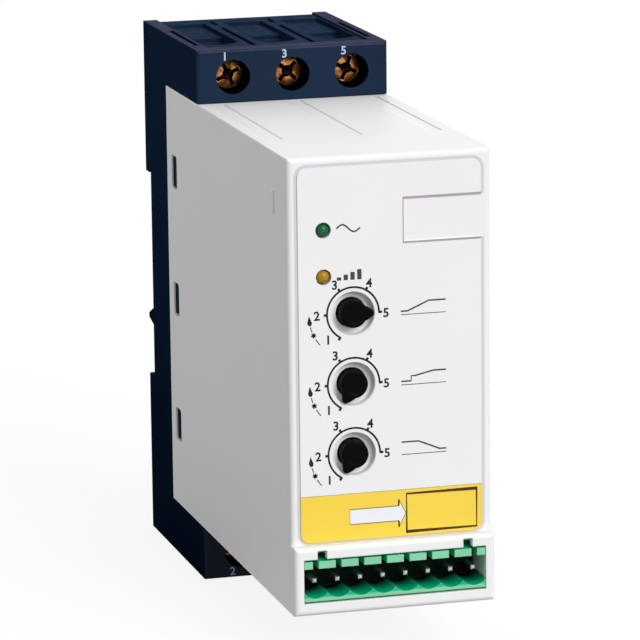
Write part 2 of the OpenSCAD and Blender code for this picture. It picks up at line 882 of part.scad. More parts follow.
// Sealed relay with a step round its foot
module bypass_relay(side) {
    color("slateblue") translate([side * relay_x, 0, relay_z]) {
        slab(relay_w, power_front, power_front + relay_foot, -relay_l / 2, relay_l / 2);
        slab(relay_w - 2 * relay_step, power_front, power_front + relay_d,
            -relay_l / 2 + relay_step, relay_l / 2 - relay_step);
    }
}

// Two round cans, each with a rolled groove near its foot
module supply_capacitors() {
    r = capacitor_d / 2;
    foot = power_front + can_foot;
    color("darkslategray") for (x = [-1, 1]) translate([x * capacitor_x, 0, capacitor_z]) {
        rod(r, power_front, foot);
        rod(r - can_groove, foot - seat_gap, foot + can_groove + seat_gap);
        rod(r, foot + can_groove, power_front + capacitor_l);
    }
}

// Three coated discs on short legs, one for each pole
module surge_discs() {
    d = power_front + surge_lift + surge_d / 2;
    color("royalblue") for (column = [-1 : 1]) translate([column * surge_x, 0, surge_z]) {
        translate([0, -d, -surge_t / 2]) cylinder(d = surge_d, h = surge_t);
        for (x = [-1, 1])
            slab(surge_leg, power_front, d, -surge_leg / 2, surge_leg / 2, x * surge_leg_x);
    }
}

// Wound core standing on the link board
module pulse_transformer() {
    x = link_x + board_t + transformer_t / 2;
    half_l = transformer_l / 2;
    half_h = transformer_h / 2;
    color("saddlebrown") translate([0, 0, transformer_z]) {
        slab(transformer_t, transformer_d - half_l, transformer_d + half_l,
            -half_h, half_h, x);
        slab(transformer_t - 2 * winding_t, transformer_d - winding_h, transformer_d + winding_h,
            -half_h - winding_t, half_h + winding_t, x);
    }
}

// Flat chip with legs down both sides
module control_chip() {
    color("black") translate([0, 0, chip_z]) {
        slab(chip_w, board_back - chip_t, board_back, -chip_w / 2, chip_w / 2);
        for (x = [-1, 1], i = [0 : chip_legs - 1])
            slab(2 * chip_leg, board_back - chip_leg, board_back,
                -chip_w / 2 + (i + (1 - chip_leg_share) / 2) * chip_w / chip_legs,
                -chip_w / 2 + (i + (1 + chip_leg_share) / 2) * chip_w / chip_legs, x * chip_w / 2);
    }
}

// Strip on edge that joins the middle pole straight through
module middle_phase_link() {
    color("peru") slab(link_t, power_front, power_front + link_w,
        surge_z + surge_t / 2 + free_gap, z_mid + bar_end + link_lap);
}

module board_screws() {
    color("silver") at_front_posts() small_screw(board_back, -1);
}

module base_screws() {
    color("silver") at_base_posts() small_screw(power_front, 1);
}

// Trimmer body with a round collar and the bearing of its spindle
module dial_trimmer(i) {
    color("steelblue") at_dial(i) difference() {
        union() {
            slab(pot_w, board_front, board_front + pot_h - pot_collar_t, -pot_w / 2, pot_w / 2);
            rod(pot_collar_r, board_front, board_front + pot_h);
        }
        rod(spindle_r + run_gap, knob_back - spindle_l - seat_gap, board_front + pot_h + cut);
    }
}

// Pointer dial with its spindle, at its rest angle
module dial_knob(i) {
    color("black") at_dial(i) rotate([0, -dial_angles[i], 0]) {
        rod(knob_r, knob_back, knob_front);
        rod(spindle_r, knob_back - spindle_l, knob_back + spindle_l);
        plate(beak_back, knob_front - beak_back) beak_outline();
    }
}

// Pointer with sides that leave the barrel at a tangent and end in a rounded tip
module beak_outline() {
    tip = beak_reach - beak_tip_r;
    lean = acos((knob_r - beak_tip_r) / tip);
    side = [cos(lean), sin(lean)];
    polygon([[0, 0], knob_r * [side.x, -side.y], [tip, 0] + beak_tip_r * [side.x, -side.y],
        [tip, 0] + beak_tip_r * side, knob_r * side]);
    translate([tip, 0]) circle(beak_tip_r);
}

// Domed lamp on a spacer
module lamp(i) {
    at_lamp(i) {
        dome_d = face_d + lamp_proud - lamp_r;
        rod(lamp_base_r, board_front, board_front + lamp_base_l);
        translate([0, -board_front, 0]) rotate([90, 0, 0]) rotate_extrude()
            intersection() {
                union() {
                    square([lamp_r, dome_d - board_front]);
                    translate([0, dome_d - board_front]) circle(lamp_r);
                }
                square([2 * lamp_r, dome_d - board_front + 2 * lamp_r]);
            }
    }
}

module power_lamp() {
    color("green") lamp(0);
}

module run_lamp() {
    color("orange") lamp(1);
}

// Copper strip from inside the cage back and down to the power board
module terminal_bar(n) {
    color("peru") at_pole(n) across(bar_w) polygon([
        [-bar_front, bar_low], [-bar_front, clamp_z + cage_h / 2],
        [-bar_back, clamp_z + cage_h / 2], [-bar_back, bar_high],
        [-bar_leg_back, bar_high], [-bar_leg_back, bar_end],
        [-power_back, bar_end], [-power_back, bar_low]]);
}

// Cage that the screw draws forward to press the wire against the bar
module clamp_cage(n) {
    color("silver") at_pole(n) translate([0, 0, clamp_z]) difference() {
        slab(cage_w, cage_back, cage_front, -cage_h / 2, cage_h / 2);
        slab(cage_w - 2 * cage_wall, cage_grip, cage_front - cage_web,
            -cage_h / 2 - cut, cage_h / 2 + cut);
        rod(thread_r + run_gap, cage_front - cage_web - cut, cage_front + cut);
    }
}

module clamp_screw(n) {
    color("goldenrod") at_pole(n) translate([0, 0, clamp_z]) difference() {
        union() {
            rod(head_r, head_back, head_front);
            rod(thread_r, tip_d, head_back + seat_gap);
        }
        slab(slot_l, head_front - slot_t, head_front + cut, -slot_w / 2, slot_w / 2);
        slab(slot_w, head_front - slot_t, head_front + cut, -slot_l / 2, slot_l / 2);
    }
}

// Side outline of the clip's nose, with a lip that reaches behind the rail
module nose_outline() {
    lip_back = notch_d - rail_lip_gap;
    polygon([[-clip_front - seat_gap, clip_seat], [-lip_back, clip_seat], [-lip_back, nose_top],
        [0, nose_top - nose_drop], [0, nose_low],
        [-clip_front - seat_gap, nose_low - nose_slope]]);
}

// Sliding clip: plate with a spring window and pull foot, and a nose as wide as the device
module rail_clip() {
    color("dimgray") difference() {
        union() {
            slab(clip_w, clip_front, clip_back, clip_low, clip_seat);
            across(clip_w) nose_outline();
            across(nose_w) intersection() {
                nose_outline();
                translate([-nose_front, clip_low]) square([nose_front, nose_top - clip_low]);
            }
            slab(foot_w, foot_inset, clip_back, clip_low, clip_low + foot_h);
            slab(spigot_w, clip_front, clip_front + spigot_t, spring_top - spigot_l,
                spring_top + seat_gap);
        }
        difference() {
            slab(2 * window_half_w, clip_front - cut, clip_back + cut,
                spring_low - boss_h - free_gap, spring_top);
            slab(spigot_w, clip_front, clip_front + spigot_t, spring_top - spigot_l,
                spring_top + seat_gap);
        }
        slab(pull_w, foot_inset - cut, clip_back + cut,
            clip_low + pull_lift, clip_low + pull_lift + pull_h);
    }
}

// Centre of the spring wire at step k, with closed end turns
function spring_height(k) =
    let (share = k / (spring_turns * spring_steps), free = spring_top - spring_low - spring_wire)
    spring_low + spring_wire / 2 + free * (share - sin(360 * share) / 360 * end_close);
function spring_point(k) =
    let (r = (spring_d - spring_wire) / 2, turn = 360 * k / spring_steps)
    [r * cos(turn), r * sin(turn) - spring_depth, spring_height(k)];
function spring_ring(k) = [
    for (s = [0 : spring_sides - 1])
        let (side = 360 * s / spring_sides, turn = 360 * k / spring_steps)
        spring_point(k) + spring_wire / 2
            * [cos(side) * cos(turn), cos(side) * sin(turn), sin(side)]
];

module clip_spring() {
    last = spring_turns * spring_steps;
    points = [for (k = [0 : last]) each spring_ring(k)];
    sides = [
        for (k = [0 : last - 1], s = [0 : spring_sides - 1])
            let (a = k * spring_sides, t = (s + 1) % spring_sides)
            [a + s, a + spring_sides + s, a + spring_sides + t, a + t]
    ];
    ends = [
        [for (s = [0 : spring_sides - 1]) s],
        [for (s = [spring_sides - 1 : -1 : 0]) last * spring_sides + s]
    ];
    color("silver") polyhedron(points, concat(sides, ends));
}

rear_housing();
front_cover();
front_film();
range_label();
control_header();
header_pins();
control_board();
link_board();
power_board();
heat_sink();
thyristor_module(1);  // thyristor_module_1
thyristor_module(-1);  // thyristor_module_2
module_screws();
bypass_relay(-1);  // bypass_relay_1
bypass_relay(1);  // bypass_relay_2
supply_capacitors();
surge_discs();
pulse_transformer();
control_chip();
middle_phase_link();
board_screws();
base_screws();
dial_trimmer(0);  // dial_trimmer_1
dial_trimmer(1);  // dial_trimmer_2
dial_trimmer(2);  // dial_trimmer_3
dial_knob(0);  // dial_knob_1
dial_knob(1);  // dial_knob_2
dial_knob(2);  // dial_knob_3
power_lamp();
run_lamp();
terminal_bar(1);  // terminal_bar_1
terminal_bar(2);  // terminal_bar_2
terminal_bar(3);  // terminal_bar_3
terminal_bar(4);  // terminal_bar_4
terminal_bar(5);  // terminal_bar_5
terminal_bar(6);  // terminal_bar_6
clamp_cage(1);  // clamp_cage_1
clamp_cage(2);  // clamp_cage_2
clamp_cage(3);  // clamp_cage_3
clamp_cage(4);  // clamp_cage_4
clamp_cage(5);  // clamp_cage_5
clamp_cage(6);  // clamp_cage_6
clamp_screw(1);  // clamp_screw_1
clamp_screw(2);  // clamp_screw_2
clamp_screw(3);  // clamp_screw_3
clamp_screw(4);  // clamp_screw_4
clamp_screw(5);  // clamp_screw_5
clamp_screw(6);  // clamp_screw_6
rail_clip();
clip_spring();
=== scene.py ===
"""Studio scene of a motor soft starter: its finishes, prints, clamp screws and small parts.

Everything is in metres in the frame of the model: X points right, Y away and Z up. A depth
of d in front of the back plane is y = -d. Sizes are written in millimetres times MM.
"""
import math

import bpy
import numpy as np
from mathutils import Matrix, Vector


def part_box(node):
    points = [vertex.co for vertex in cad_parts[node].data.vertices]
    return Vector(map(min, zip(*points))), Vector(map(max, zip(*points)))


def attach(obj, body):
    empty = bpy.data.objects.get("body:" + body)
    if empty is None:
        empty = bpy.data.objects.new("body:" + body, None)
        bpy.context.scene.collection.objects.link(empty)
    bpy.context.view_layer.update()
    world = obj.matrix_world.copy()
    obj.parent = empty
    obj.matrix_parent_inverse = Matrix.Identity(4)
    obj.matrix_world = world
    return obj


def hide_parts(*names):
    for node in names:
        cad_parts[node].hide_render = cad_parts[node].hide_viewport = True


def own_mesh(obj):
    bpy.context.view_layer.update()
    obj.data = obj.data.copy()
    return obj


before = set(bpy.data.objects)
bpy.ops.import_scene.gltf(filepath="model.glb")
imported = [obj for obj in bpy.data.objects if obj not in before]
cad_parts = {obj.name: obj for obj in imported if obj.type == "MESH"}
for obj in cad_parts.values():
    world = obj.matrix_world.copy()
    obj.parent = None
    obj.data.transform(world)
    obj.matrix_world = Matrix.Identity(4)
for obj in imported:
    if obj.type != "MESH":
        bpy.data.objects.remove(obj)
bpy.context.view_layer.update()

MM = 0.001
FULL = 2 * math.pi


# ---------------------------------------------------------------- places read from the model

def middle(node):
    """Centre of a node's box."""
    low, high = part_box(node)
    return (low + high) / 2


def front(node):
    """Depth of a node's foremost face."""
    return -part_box(node)[0].y


film_low, film_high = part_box("front_film")
label_low, label_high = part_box("range_label")
header_low, header_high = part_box("control_header")
base_low, base_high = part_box("rear_housing")
FILM_FRONT = front("front_film")
LABEL_FRONT = front("range_label")
BLOCK_FRONT = front("rear_housing")
COVER_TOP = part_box("front_cover")[1].z
MARKER_TOP = COVER_TOP - 9.9 * MM
MARKER_LOW = MARKER_TOP - 9.2 * MM
BASE_LEVEL = (base_low.z + base_high.z) / 2
POLES = range(1, 7)
DIALS = range(1, 4)


# ---------------------------------------------------------------- surfaces

def ring_cells(rows, columns, closed=False):
    """Corners of every cell between the points of a grid whose rows are rings. A closed grid
    also joins its last ring to its first."""
    r, c = np.meshgrid(np.arange(rows if closed else rows - 1), np.arange(columns), indexing="ij")
    r, c = r.ravel(), c.ravel()
    r1, c1 = (r + 1) % rows, (c + 1) % columns
    return np.stack([r * columns + c, r1 * columns + c, r1 * columns + c1, r * columns + c1], 1)


def enclosed_volume(points, cells, caps):
    """Sum of a . (b x c) / 6 over a closed skin's triangles, above zero if it faces out."""
    fans = [cells[:, [0, 1, 2]], cells[:, [0, 2, 3]]]
    fans += [np.stack([np.full(len(c) - 2, c[0]), c[1:-1], c[2:]], 1) for c in caps]
    a, b, c = np.moveaxis(points[np.concatenate(fans)], 1, 0)
    return float(np.einsum("ij,ij->", a, np.cross(b, c)) / 6)


def faced_out(points, cells, caps=()):
    """Skin of cells and caps, turned over if they would face inwards."""
    if enclosed_volume(points, cells, caps) < 0:
        cells, caps = cells[:, ::-1], [c[::-1] for c in caps]
    return points, cells, list(caps)


def closed_skin(grid):
    """Closed skin over a grid of rings P(u, v), with v running round each ring and a flat cap
    on the first and the last ring."""
    rows, columns = grid.shape[:2]
    caps = [np.arange(columns)[::-1], np.arange(columns) + (rows - 1) * columns]
    return faced_out(grid.reshape(-1, 3), ring_cells(rows, columns), caps)


def closed_loop(grid):
    """Closed skin over a grid of rings P(u, v) whose last ring joins the first."""
    return faced_out(grid.reshape(-1, 3), ring_cells(*grid.shape[:2], closed=True))


def gather(parts):
    """One skin out of several, each with its corners counted on from the last."""
    counts = np.cumsum([0] + [len(p) for p, _, _ in parts])
    points = np.concatenate([p for p, _, _ in parts])
    cells = np.concatenate([c + n for (_, c, _), n in zip(parts, counts)])
    caps = [cap + n for (_, _, caps), n in zip(parts, counts) for cap in caps]
    return points, cells, caps


def at_depth(flat, depth):
    """(x, z) points as points in space at a depth."""
    return np.stack([flat[:, 0], np.full(len(flat), -depth), flat[:, 1]], -1)


def turned_skin(rings, angles, x, z, start):
    """Rings of (radius, depth) round the depth axis through x and z, turned by start, where a
    radius is one value or one for each angle:
    P(u, a) = (x + r(u, a) cos(a + start), -d(u), z + r(u, a) sin(a + start))."""
    around = np.stack([np.cos(angles + start), np.sin(angles + start)], 1)
    return closed_skin(np.stack([
        at_depth([x, z] + np.broadcast_to(radius, angles.shape)[:, None] * around, depth)
        for radius, depth in rings]))


def slab_of(outline, back, ahead):
    """Outline of (x, z) points given thickness between two depths: P(u, v) is the outline's
    point v at depth back + u (ahead - back)."""
    outline = np.array(outline, float)
    return closed_skin(np.stack([at_depth(outline, depth) for depth in (back, ahead)]))


def stroke(path, width, back, ahead, closed=False):
    """Printed line along (x, z) points: at each point the four corners of a flat bar, half
    the width to either side along the line's normal, between two depths."""
    path = np.array(path, float)
    before, after = np.roll(path, 1, 0), np.roll(path, -1, 0)
    if not closed:
        before[0], after[-1] = path[0], path[-1]
    run = after - before
    run /= np.linalg.norm(run, axis=1)[:, None]
    side = np.stack([-run[:, 1], run[:, 0]], 1) * width / 2
    if closed:
        leg = path - before
        leg /= np.linalg.norm(leg, axis=1)[:, None]
        side /= np.clip(np.einsum("ij,ij->i", run, leg), 0.5, 1)[:, None]
    left, right = path + side, path - side
    grid = np.stack([at_depth(left, back), at_depth(right, back), at_depth(right, ahead),
                     at_depth(left, ahead)], 1)
    return closed_loop(grid) if closed else closed_skin(grid)


def arc_points(x, z, radius, start, end, count):
    """Points of an arc, its angles in degrees counted up from the right."""
    a = np.radians(np.linspace(start, end, count))
    return np.stack([x + radius * np.cos(a), z + radius * np.sin(a)], 1)


def round_box(low, high, radius, steps=5):
    """Outline of a rectangle with round corners, from its lowest to its highest corner."""
    left, right, under, over = (low[0] + radius, high[0] - radius, low[1] + radius,
                                high[1] - radius)
    return np.concatenate([arc_points(x, z, radius, start, start + 90, steps)
                           for x, z, start in ((right, over, 0), (left, over, 90),
                                               (left, under, 180), (right, under, 270))])


def tube(path, radius, sides):
    """Round wire along a path: at each point a circle across the path, on two directions
    carried along by taking out of a fixed guide what points along the path."""
    run = np.gradient(path, axis=0)
    run /= np.linalg.norm(run, axis=1)[:, None]
    guide = np.array([0.13, 0.31, 0.94])
    first = guide - run * (run @ guide)[:, None]
    first /= np.linalg.norm(first, axis=1)[:, None]
    second = np.cross(run, first)
    a = np.arange(sides) * FULL / sides
    return closed_skin(path[:, None] + radius * (first[:, None] * np.cos(a)[None, :, None]
                                                 + second[:, None] * np.sin(a)[None, :, None]))


def piece(name, part, finish, body, smooth=35):
    """Object from a skin, with its finish, riding on a body. Edges sharper than smooth, in
    degrees, stay sharp."""
    points, cells, caps = part
    mesh = bpy.data.meshes.new(name)
    mesh.from_pydata(points.tolist(), [], cells.tolist() + [c.tolist() for c in caps])
    mesh.update()
    mesh.shade_smooth()
    mesh.set_sharp_from_angle(angle=math.radians(smooth))
    mesh.materials.append(finish)
    made = bpy.data.objects.new(name, mesh)
    bpy.context.scene.collection.objects.link(made)
    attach(made, body)
    return made


# ---------------------------------------------------------------- finishes: tools

def add(tree, kind, inputs=None, **settings):
    """Shader node with its settings, and its inputs joined to sockets or set to values."""
    made = tree.nodes.new("ShaderNode" + kind)
    for key, value in settings.items():
        setattr(made, key, value)
    for key, value in (inputs or {}).items():
        if isinstance(value, bpy.types.NodeSocket):
            tree.links.new(value, made.inputs[key])
        else:
            made.inputs[key].default_value = value
    return made


def calc(tree, operation, *values, clamp=False):
    """Math node on up to three values or sockets."""
    return add(tree, "Math", dict(enumerate(values)), operation=operation,
               use_clamp=clamp).outputs[0]


def product(tree, *values):
    """Product of two or more values or sockets."""
    result = values[0]
    for value in values[1:]:
        result = calc(tree, "MULTIPLY", result, value)
    return result


def apart(tree, value, centre):
    """How far a value is from a centre, |value - centre|."""
    return calc(tree, "ABSOLUTE", calc(tree, "SUBTRACT", value, centre))


def length_of(tree, *legs):
    """Root of the sum of two squares."""
    return calc(tree, "SQRT", calc(tree, "ADD", *(product(tree, leg, leg) for leg in legs)))


def vector_calc(tree, operation, *values):
    """Vector math node on its values or sockets."""
    return add(tree, "VectorMath", dict(enumerate(values)), operation=operation).outputs[0]


def blend_colour(tree, share, first, second):
    """Mix of two colours by a share."""
    made = add(tree, "Mix", data_type="RGBA")
    for index, value in ((0, share), (6, first), (7, second)):
        if isinstance(value, bpy.types.NodeSocket):
            tree.links.new(value, made.inputs[index])
        else:
            made.inputs[index].default_value = value
    return made.outputs[2]


def place_of(tree):
    """Object coordinates, in metres in the frame of the model."""
    return add(tree, "TexCoord").outputs["Object"]


def true_normal(tree):
    """Normal of the bare mesh."""
    return add(tree, "NewGeometry").outputs["True Normal"]


def parts_of(tree, vector):
    """The parts X, Y and Z of a vector."""
    return add(tree, "SeparateXYZ", {0: vector}).outputs


def noise(tree, size, detail):
    """Noise with features of a size in metres."""
    return add(tree, "TexNoise", {"Vector": place_of(tree), "Scale": 1 / size,
                                  "Detail": detail}).outputs["Fac"]


def start_group(name, inputs, outputs):
    """Empty node group with named sockets, and its ends."""
    tree = bpy.data.node_groups.new(name, "ShaderNodeTree")
    for label, kind, value in inputs:
        made = tree.interface.new_socket(label, in_out="INPUT", socket_type="NodeSocket" + kind)
        if value is not None:
            made.default_value = value
    for label, kind in outputs:
        tree.interface.new_socket(label, in_out="OUTPUT", socket_type="NodeSocket" + kind)
    ends = [tree.nodes.new("NodeGroup" + end) for end in ("Input", "Output")]
    return tree, ends[0].outputs, ends[1].inputs


def use(tree, group, **inputs):
    """Group placed in a tree; a blank in an input's name is written as _."""
    made = tree.nodes.new("ShaderNodeGroup")
    made.node_tree = group
    for key, value in inputs.items():
        socket = made.inputs[key.replace("_", " ")]
        if isinstance(value, bpy.types.NodeSocket):
            tree.links.new(value, socket)
        else:
            socket.default_value = value
    return made.outputs


def ranged(tree, value, low, high, to_low=0.0, to_high=1.0):
    """Value mapped from one range to another, held at its ends."""
    return add(tree, "MapRange", {0: value, 1: low, 2: high, 3: to_low, 4: to_high}).outputs[0]


# ---------------------------------------------------------------- finishes: shared groups

def soft_edges_group():
    """Rounded look of moulded or rolled edges. Edge is 5 times 1 minus the dot product of the
    rounded and the true normal, up to 1, so it is 0 on flats and rises on edges."""
    tree, given, out = start_group("soft_edges", [("Radius", "Float", 0.0003)],
                                   [("Normal", "Vector"), ("Edge", "Float")])
    rounded = add(tree, "Bevel", {"Radius": given["Radius"]}, samples=6).outputs[0]
    dot = add(tree, "VectorMath", {0: rounded, 1: true_normal(tree)}, operation="DOT_PRODUCT")
    turned = calc(tree, "SUBTRACT", 1.0, dot.outputs["Value"])
    tree.links.new(rounded, out["Normal"])
    tree.links.new(calc(tree, "MULTIPLY", turned, 5.0, clamp=True), out["Edge"])
    return tree


def moulded_grain_group():
    """Fine spark-eroded grain of a moulding: two noises, one grain wide and one four grains
    wide, raise the normal; the wide one also drifts the roughness."""
    tree, given, out = start_group(
        "moulded_grain",
        [("Normal", "Vector", None), ("Grain", "Float", 0.00025), ("Depth", "Float", 0.00001),
         ("Roughness", "Float", 0.45), ("Drift", "Float", 0.06)],
        [("Normal", "Vector"), ("Roughness", "Float")])
    scale = calc(tree, "DIVIDE", 1.0, given["Grain"])
    where = place_of(tree)
    fine = add(tree, "TexNoise", {"Vector": where, "Scale": scale, "Detail": 3.0})
    wide = add(tree, "TexNoise", {"Vector": where, "Scale": product(tree, scale, 0.23),
                                  "Detail": 2.0}).outputs["Fac"]
    height = calc(tree, "ADD", fine.outputs["Fac"], product(tree, wide, 0.6))
    bump = add(tree, "Bump", {"Height": height, "Distance": given["Depth"],
                              "Normal": given["Normal"]})
    slow = calc(tree, "SUBTRACT", calc(tree, "ADD", noise(tree, 0.012, 3.0), wide), 1.0)
    drift = product(tree, slow, given["Drift"])
    tree.links.new(bump.outputs[0], out["Normal"])
    tree.links.new(calc(tree, "ADD", given["Roughness"], drift, clamp=True), out["Roughness"])
    return tree


def handled_colour_group():
    """Colour of a used surface: it drifts slowly by Amount, takes the Edge colour where the
    edge mask and a noise meet, as edge wear and as painted light on the edges (a lighter
    Edge colour paints a highlight, a darker one paints shade), and gathers dust on what
    faces up."""
    tree, given, out = start_group(
        "wear_and_edge_light",
        [("Colour", "Color", None), ("Edge Colour", "Color", None), ("Edge", "Float", 0.0),
         ("Amount", "Float", 0.08), ("Dust", "Float", 0.0)],
        [("Colour", "Color")])
    slow = ranged(tree, noise(tree, 0.018, 4.0), 0.3, 0.7)
    darker = blend_colour(tree, given["Amount"], given["Colour"], (0, 0, 0, 1))
    drifted = blend_colour(tree, slow, darker, given["Colour"])
    patchy = ranged(tree, noise(tree, 0.004, 3.0), 0.35, 0.65, 0.35, 1.0)
    # Edge colour on the edges: edge wear, and painted highlight where it is lighter, painted
    # shade where it is darker
    edge_wear_and_light = blend_colour(tree, product(tree, given["Edge"], patchy), drifted,
                         given["Edge Colour"])
    up = parts_of(tree, add(tree, "NewGeometry").outputs["Normal"])["Z"]
    settled = product(tree, calc(tree, "MAXIMUM", up, 0.0),
                      ranged(tree, noise(tree, 0.0022, 5.0), 0.42, 0.75))
    dusty = blend_colour(tree, product(tree, settled, given["Dust"]), edge_wear_and_light,
                         (0.55, 0.54, 0.52, 1))
    tree.links.new(dusty, out["Colour"])
    return tree


def drawn_metal_group():
    """Fine lines of drawn, rolled or turned metal: noise squeezed by Stretch, so that it is
    long along one axis, drives the roughness and the bump."""
    tree, given, out = start_group(
        "drawn_metal",
        [("Normal", "Vector", None), ("Stretch", "Vector", (1.0, 1.0, 0.05)),
         ("Line", "Float", 0.00012), ("Depth", "Float", 0.000004), ("Roughness", "Float", 0.3)],
        [("Normal", "Vector"), ("Roughness", "Float")])
    where = vector_calc(tree, "MULTIPLY", place_of(tree), given["Stretch"])
    scale = calc(tree, "DIVIDE", 1.0, given["Line"])
    lines = add(tree, "TexNoise", {"Vector": where, "Scale": scale, "Detail": 3.0}).outputs["Fac"]
    bump = add(tree, "Bump", {"Height": lines, "Distance": given["Depth"],
                              "Normal": given["Normal"]})
    tree.links.new(bump.outputs[0], out["Normal"])
    tree.links.new(calc(tree, "ADD", given["Roughness"],
                        ranged(tree, lines, 0.3, 0.7, -0.07, 0.09)), out["Roughness"])
    return tree


def tarnish_group():
    """Stain of handled metal: a patchy mask of noise, with blotches of Size."""
    tree, given, out = start_group(
        "tarnish", [("Size", "Float", 0.002), ("Cover", "Float", 0.4)], [("Stain", "Float")])
    scale = calc(tree, "DIVIDE", 1.0, given["Size"])
    blotch = add(tree, "TexNoise", {"Vector": place_of(tree), "Detail": 5.0, "Scale": scale})
    low = calc(tree, "SUBTRACT", 0.72, product(tree, given["Cover"], 0.4))
    stain = ranged(tree, blotch.outputs["Fac"], low, calc(tree, "ADD", low, 0.18))
    tree.links.new(stain, out["Stain"])
    return tree


soft_edges = soft_edges_group()
moulded_grain = moulded_grain_group()
wear_and_edge_light = handled_colour_group()
drawn_metal = drawn_metal_group()
tarnish = tarnish_group()


# ---------------------------------------------------------------- finishes: materials

def start_finish(name, **constants):
    """Material with its Principled shader, whose constants are set on its own sockets."""
    made = bpy.data.materials.new(name)
    made.use_nodes = True
    tree = made.node_tree
    shader = tree.nodes["Principled BSDF"]
    for key, value in constants.items():
        shader.inputs[key.replace("_", " ")].default_value = value
    return made, tree, shader.inputs


def join(tree, shader, **outputs):
    """Joins sockets to the shader's inputs."""
    for key, value in outputs.items():
        tree.links.new(value, shader[key.replace("_", " ")])


def moulding(tree, radius, grain, depth, roughness, drift):
    """Outputs of the soft edges and of the grain of a moulded surface."""
    edges = use(tree, soft_edges, Radius=radius)
    return edges, use(tree, moulded_grain, Normal=edges["Normal"], Grain=grain, Depth=depth,
                      Roughness=roughness, Drift=drift)


def cover_with(tree, shader, skin, colour, **others):
    """Joins a colour, a surface's roughness and normal, and other sockets by their name."""
    join(tree, shader, Base_Color=colour, Roughness=skin["Roughness"], Normal=skin["Normal"],
         **others)


def plastic(name, colour, edge_colour, roughness=0.45, radius=0.0003, grain=0.00025,
            depth=0.00001, drift=0.06, amount=0.06, edge=0.5, specular=0.4):
    """Moulded plastic: soft edges, fine grain and a slow drift of colour and gloss, with its
    edge colour laid on the edges as wear and painted edge light.
    """
    made, tree, shader = start_finish(name, Specular_IOR_Level=specular)
    edges, skin = moulding(tree, radius, grain, depth, roughness, drift)
    paint = use(tree, wear_and_edge_light, Colour=colour, Edge_Colour=edge_colour, Amount=amount,
                Edge=product(tree, edges["Edge"], edge))
    cover_with(tree, shader, skin, paint["Colour"])
    return made


def metal(name, colour, stained, roughness=0.3, stretch=(1.0, 1.0, 0.05), line=0.00012,
          radius=0.0001, size=0.002, cover=0.4, darken=None):
    """Bare or plated metal with its drawing lines and a light tarnish, and with what darken
    makes of its colour."""
    made, tree, shader = start_finish(name, Metallic=1.0)
    edges = use(tree, soft_edges, Radius=radius)
    lines = use(tree, drawn_metal, Normal=edges["Normal"], Stretch=stretch, Line=line,
                Depth=0.000004, Roughness=roughness)
    stain = use(tree, tarnish, Size=size, Cover=cover)["Stain"]
    tone = blend_colour(tree, stain, colour, stained)
    if darken:
        tone = darken(tree, tone)
    rough = calc(tree, "ADD", lines["Roughness"], product(tree, stain, 0.18), clamp=True)
    join(tree, shader, Base_Color=tone, Roughness=rough, Normal=lines["Normal"])
    return made


def facing_gloss(tree, most):
    """Weight of a thin gloss that shows where the surface is seen from in front and fades out
    towards grazing angles, as on a dull moulding."""
    turned = add(tree, "LayerWeight", {"Blend": 0.5}).outputs["Facing"]
    return ranged(tree, turned, 0.3, 0.7, most, 0.0)


def clamp_recess(tree, place):
    """Mask of the painted shade in the six screwdriver holes: 1 within their radius of a screw's
    axis, from the front face to 14 mm behind it. The axes stand in the middle and a pitch to
    either side of it, above and below the base's middle level."""
    hole_r, reach_back = 4.02 * MM, 14 * MM
    pitch = middle("clamp_screw_3").x - middle("clamp_screw_1").x
    rise = middle("clamp_screw_1").z - BASE_LEVEL
    aside = calc(tree, "ABSOLUTE", place["X"])
    along = calc(tree, "MINIMUM", aside, apart(tree, aside, pitch))
    away = calc(tree, "SUBTRACT", apart(tree, place["Z"], BASE_LEVEL), rise)
    inside = ranged(tree, length_of(tree, along, away), hole_r + 0.04 * MM, hole_r)
    behind = ranged(tree, place["Y"], -BLOCK_FRONT + 0.1 * MM, -BLOCK_FRONT + 1.2 * MM)
    before = calc(tree, "LESS_THAN", place["Y"], -BLOCK_FRONT + reach_back)
    return product(tree, inside, behind, before)


def base_finish():
    """Dark blue moulding, dull, with painted light and shade: lighter on what faces up as
    painted light from above, lilac on its raised rims as a painted sheen, darker towards its
    foot as painted shade, and almost black inside its screwdriver holes as painted shade."""
    made, tree, shader = start_finish("base_blue", Specular_IOR_Level=0.0, Coat_Roughness=0.32)
    edges, skin = moulding(tree, radius=0.0003, grain=0.00022, depth=0.000012, roughness=0.5,
                           drift=0.08)
    place = parts_of(tree, place_of(tree))
    half = (base_high.z - base_low.z) / 2
    rim = ranged(tree, apart(tree, place["Z"], BASE_LEVEL), half - 0.25 * MM, half - 0.05 * MM)
    up = parts_of(tree, true_normal(tree))["Z"]
    # painted light from above: what faces up is painted lighter
    body = blend_colour(tree, ranged(tree, up, 0.4, 0.9, 0.0, 0.8), (0.0085, 0.022, 0.052, 1),
                        (0.02, 0.04, 0.082, 1))
    # painted sheen: the raised rims are tinted a light lilac
    body = blend_colour(tree, rim, body, (0.055, 0.056, 0.105, 1))
    # painted shade: the base is painted darker towards its foot
    foot = ranged(tree, place["Z"], base_low.z + 5 * MM, base_low.z + 100 * MM, 0.7, 0.0)
    body = blend_colour(tree, foot, body, (0.0016, 0.004, 0.011, 1))
    paint = use(tree, wear_and_edge_light, Colour=body, Edge_Colour=(0.035, 0.06, 0.12, 1),
                Edge=product(tree, edges["Edge"], 0.45), Amount=0.2, Dust=0.035)
    # painted shade: near black inside the screwdriver holes
    colour = blend_colour(tree, clamp_recess(tree, place), paint["Colour"],
                          (0.0016, 0.002, 0.003, 1))
    cover_with(tree, shader, skin, colour, Coat_Weight=facing_gloss(tree, 0.16))
    return made


